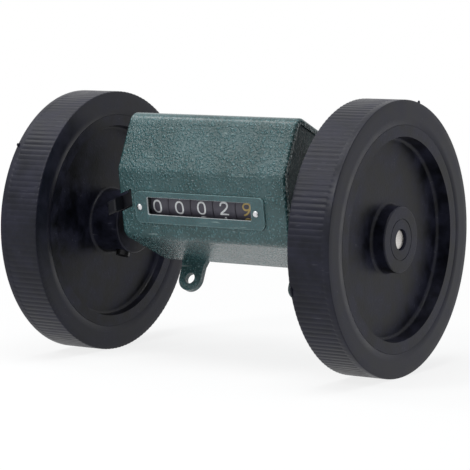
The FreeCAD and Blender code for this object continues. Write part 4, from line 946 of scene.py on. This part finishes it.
# %% [markdown]
# ## Metals
# The shaft is ground bar, the frame plates are bare sheet, and the gears are brass. What tells
# these apart is the direction and size of their tool marks. Round bar is marked round its axis,
# so the noise is stretched in the two directions across the shaft's end and packed along its
# length. Plate has a broad, faint mottle.


# %% mix the metals
MARK_DEPTH = 0.003


def metal(name, dark, light, rough, along):
    """A metal whose tone and gloss vary with noise that is stretched by the along values."""
    made, tree, shader, where = new_material(name, Metallic=1.0)
    stretched = add(tree, "ShaderNodeMapping", Vector=where, Scale=along)
    marks = use_group(
        tree, grain, stretched.outputs[0], Grain_Size=0.25, Scuff_Size=5.0, Scuff_Amount=0.2
    )
    tone = mixed(tree, ramp(tree, marks["Mottle"], 0.3, 0.7), srgb(*dark), srgb(*light))
    tree.links.new(tone, shader.inputs["Base Color"])
    gloss = ramp(tree, marks["Height"], 0.3, 0.7, rough - 0.07, rough + 0.1)
    tree.links.new(gloss, shader.inputs["Roughness"])
    bump(tree, shader, marks["Height"], MARK_DEPTH)
    return made


# Each row is the dark and the light tone, the roughness and how the noise is packed.
METALS = {
    "bright_rivet": ((205, 206, 208), (232, 232, 234), 0.24, (1, 1, 1)),
    "screw_steel": ((150, 151, 154), (182, 183, 186), 0.32, (1, 1, 1)),
    "plate_steel": ((170, 171, 172), (200, 201, 202), 0.36, (0.6, 0.6, 0.6)),
    "shaft_steel": ((176, 172, 168), (208, 205, 202), 0.3, (2.5, 1, 1)),
    "bush_bronze": ((150, 118, 78), (178, 146, 100), 0.38, (1, 1, 1)),
    "gear_brass": ((186, 156, 92), (214, 186, 120), 0.3, (2.0, 1, 1)),
    "spring_steel": ((150, 151, 154), (196, 197, 200), 0.26, (3, 1, 1)),
}
for name, numbers in METALS.items():
    finishes[name] = metal(name, *numbers)
print("metals:", list(METALS))

# %% [markdown]
# ## Dressing the pieces
# Every solid keeps its shape and only changes its finish. The imported record says which material
# slot each one has, so the finishes are dealt out by slot, with a few exceptions: the paint on
# the window plate and the end plates is finer, the end plates' paint is darker as painted shade,
# and the screws in the hubs are blackened.

# %% deal out the finishes
slot_of = {part["node"]: part["material_slot"] for part in frame["record"]["subparts"]}
finish_of = dict(slot_of, window_bezel="window_plate", hub_screws="screw_black")
# The end plates' finish is the darker paint, which is painted shade.
finish_of.update(left_end_plate="end_plate", right_end_plate="end_plate")
for name, solid in frame["nodes"].items():
    solid.data.materials.clear()
    solid.data.materials.append(finishes[finish_of[name]])
for piece in (*tyres.values(), flash):
    piece.data.materials.append(finishes["tread_rubber"])
spring.data.materials.append(finishes["spring_steel"])
for body, piece in digits.items():
    piece.data.materials.append(finishes["digit_gold" if body == "tenths" else "digit_white"])
new_pieces = [*tyres.values(), flash, spring, *digits.values()]
print("dressed", len(frame["nodes"]), "solids and", len(new_pieces), "new pieces")
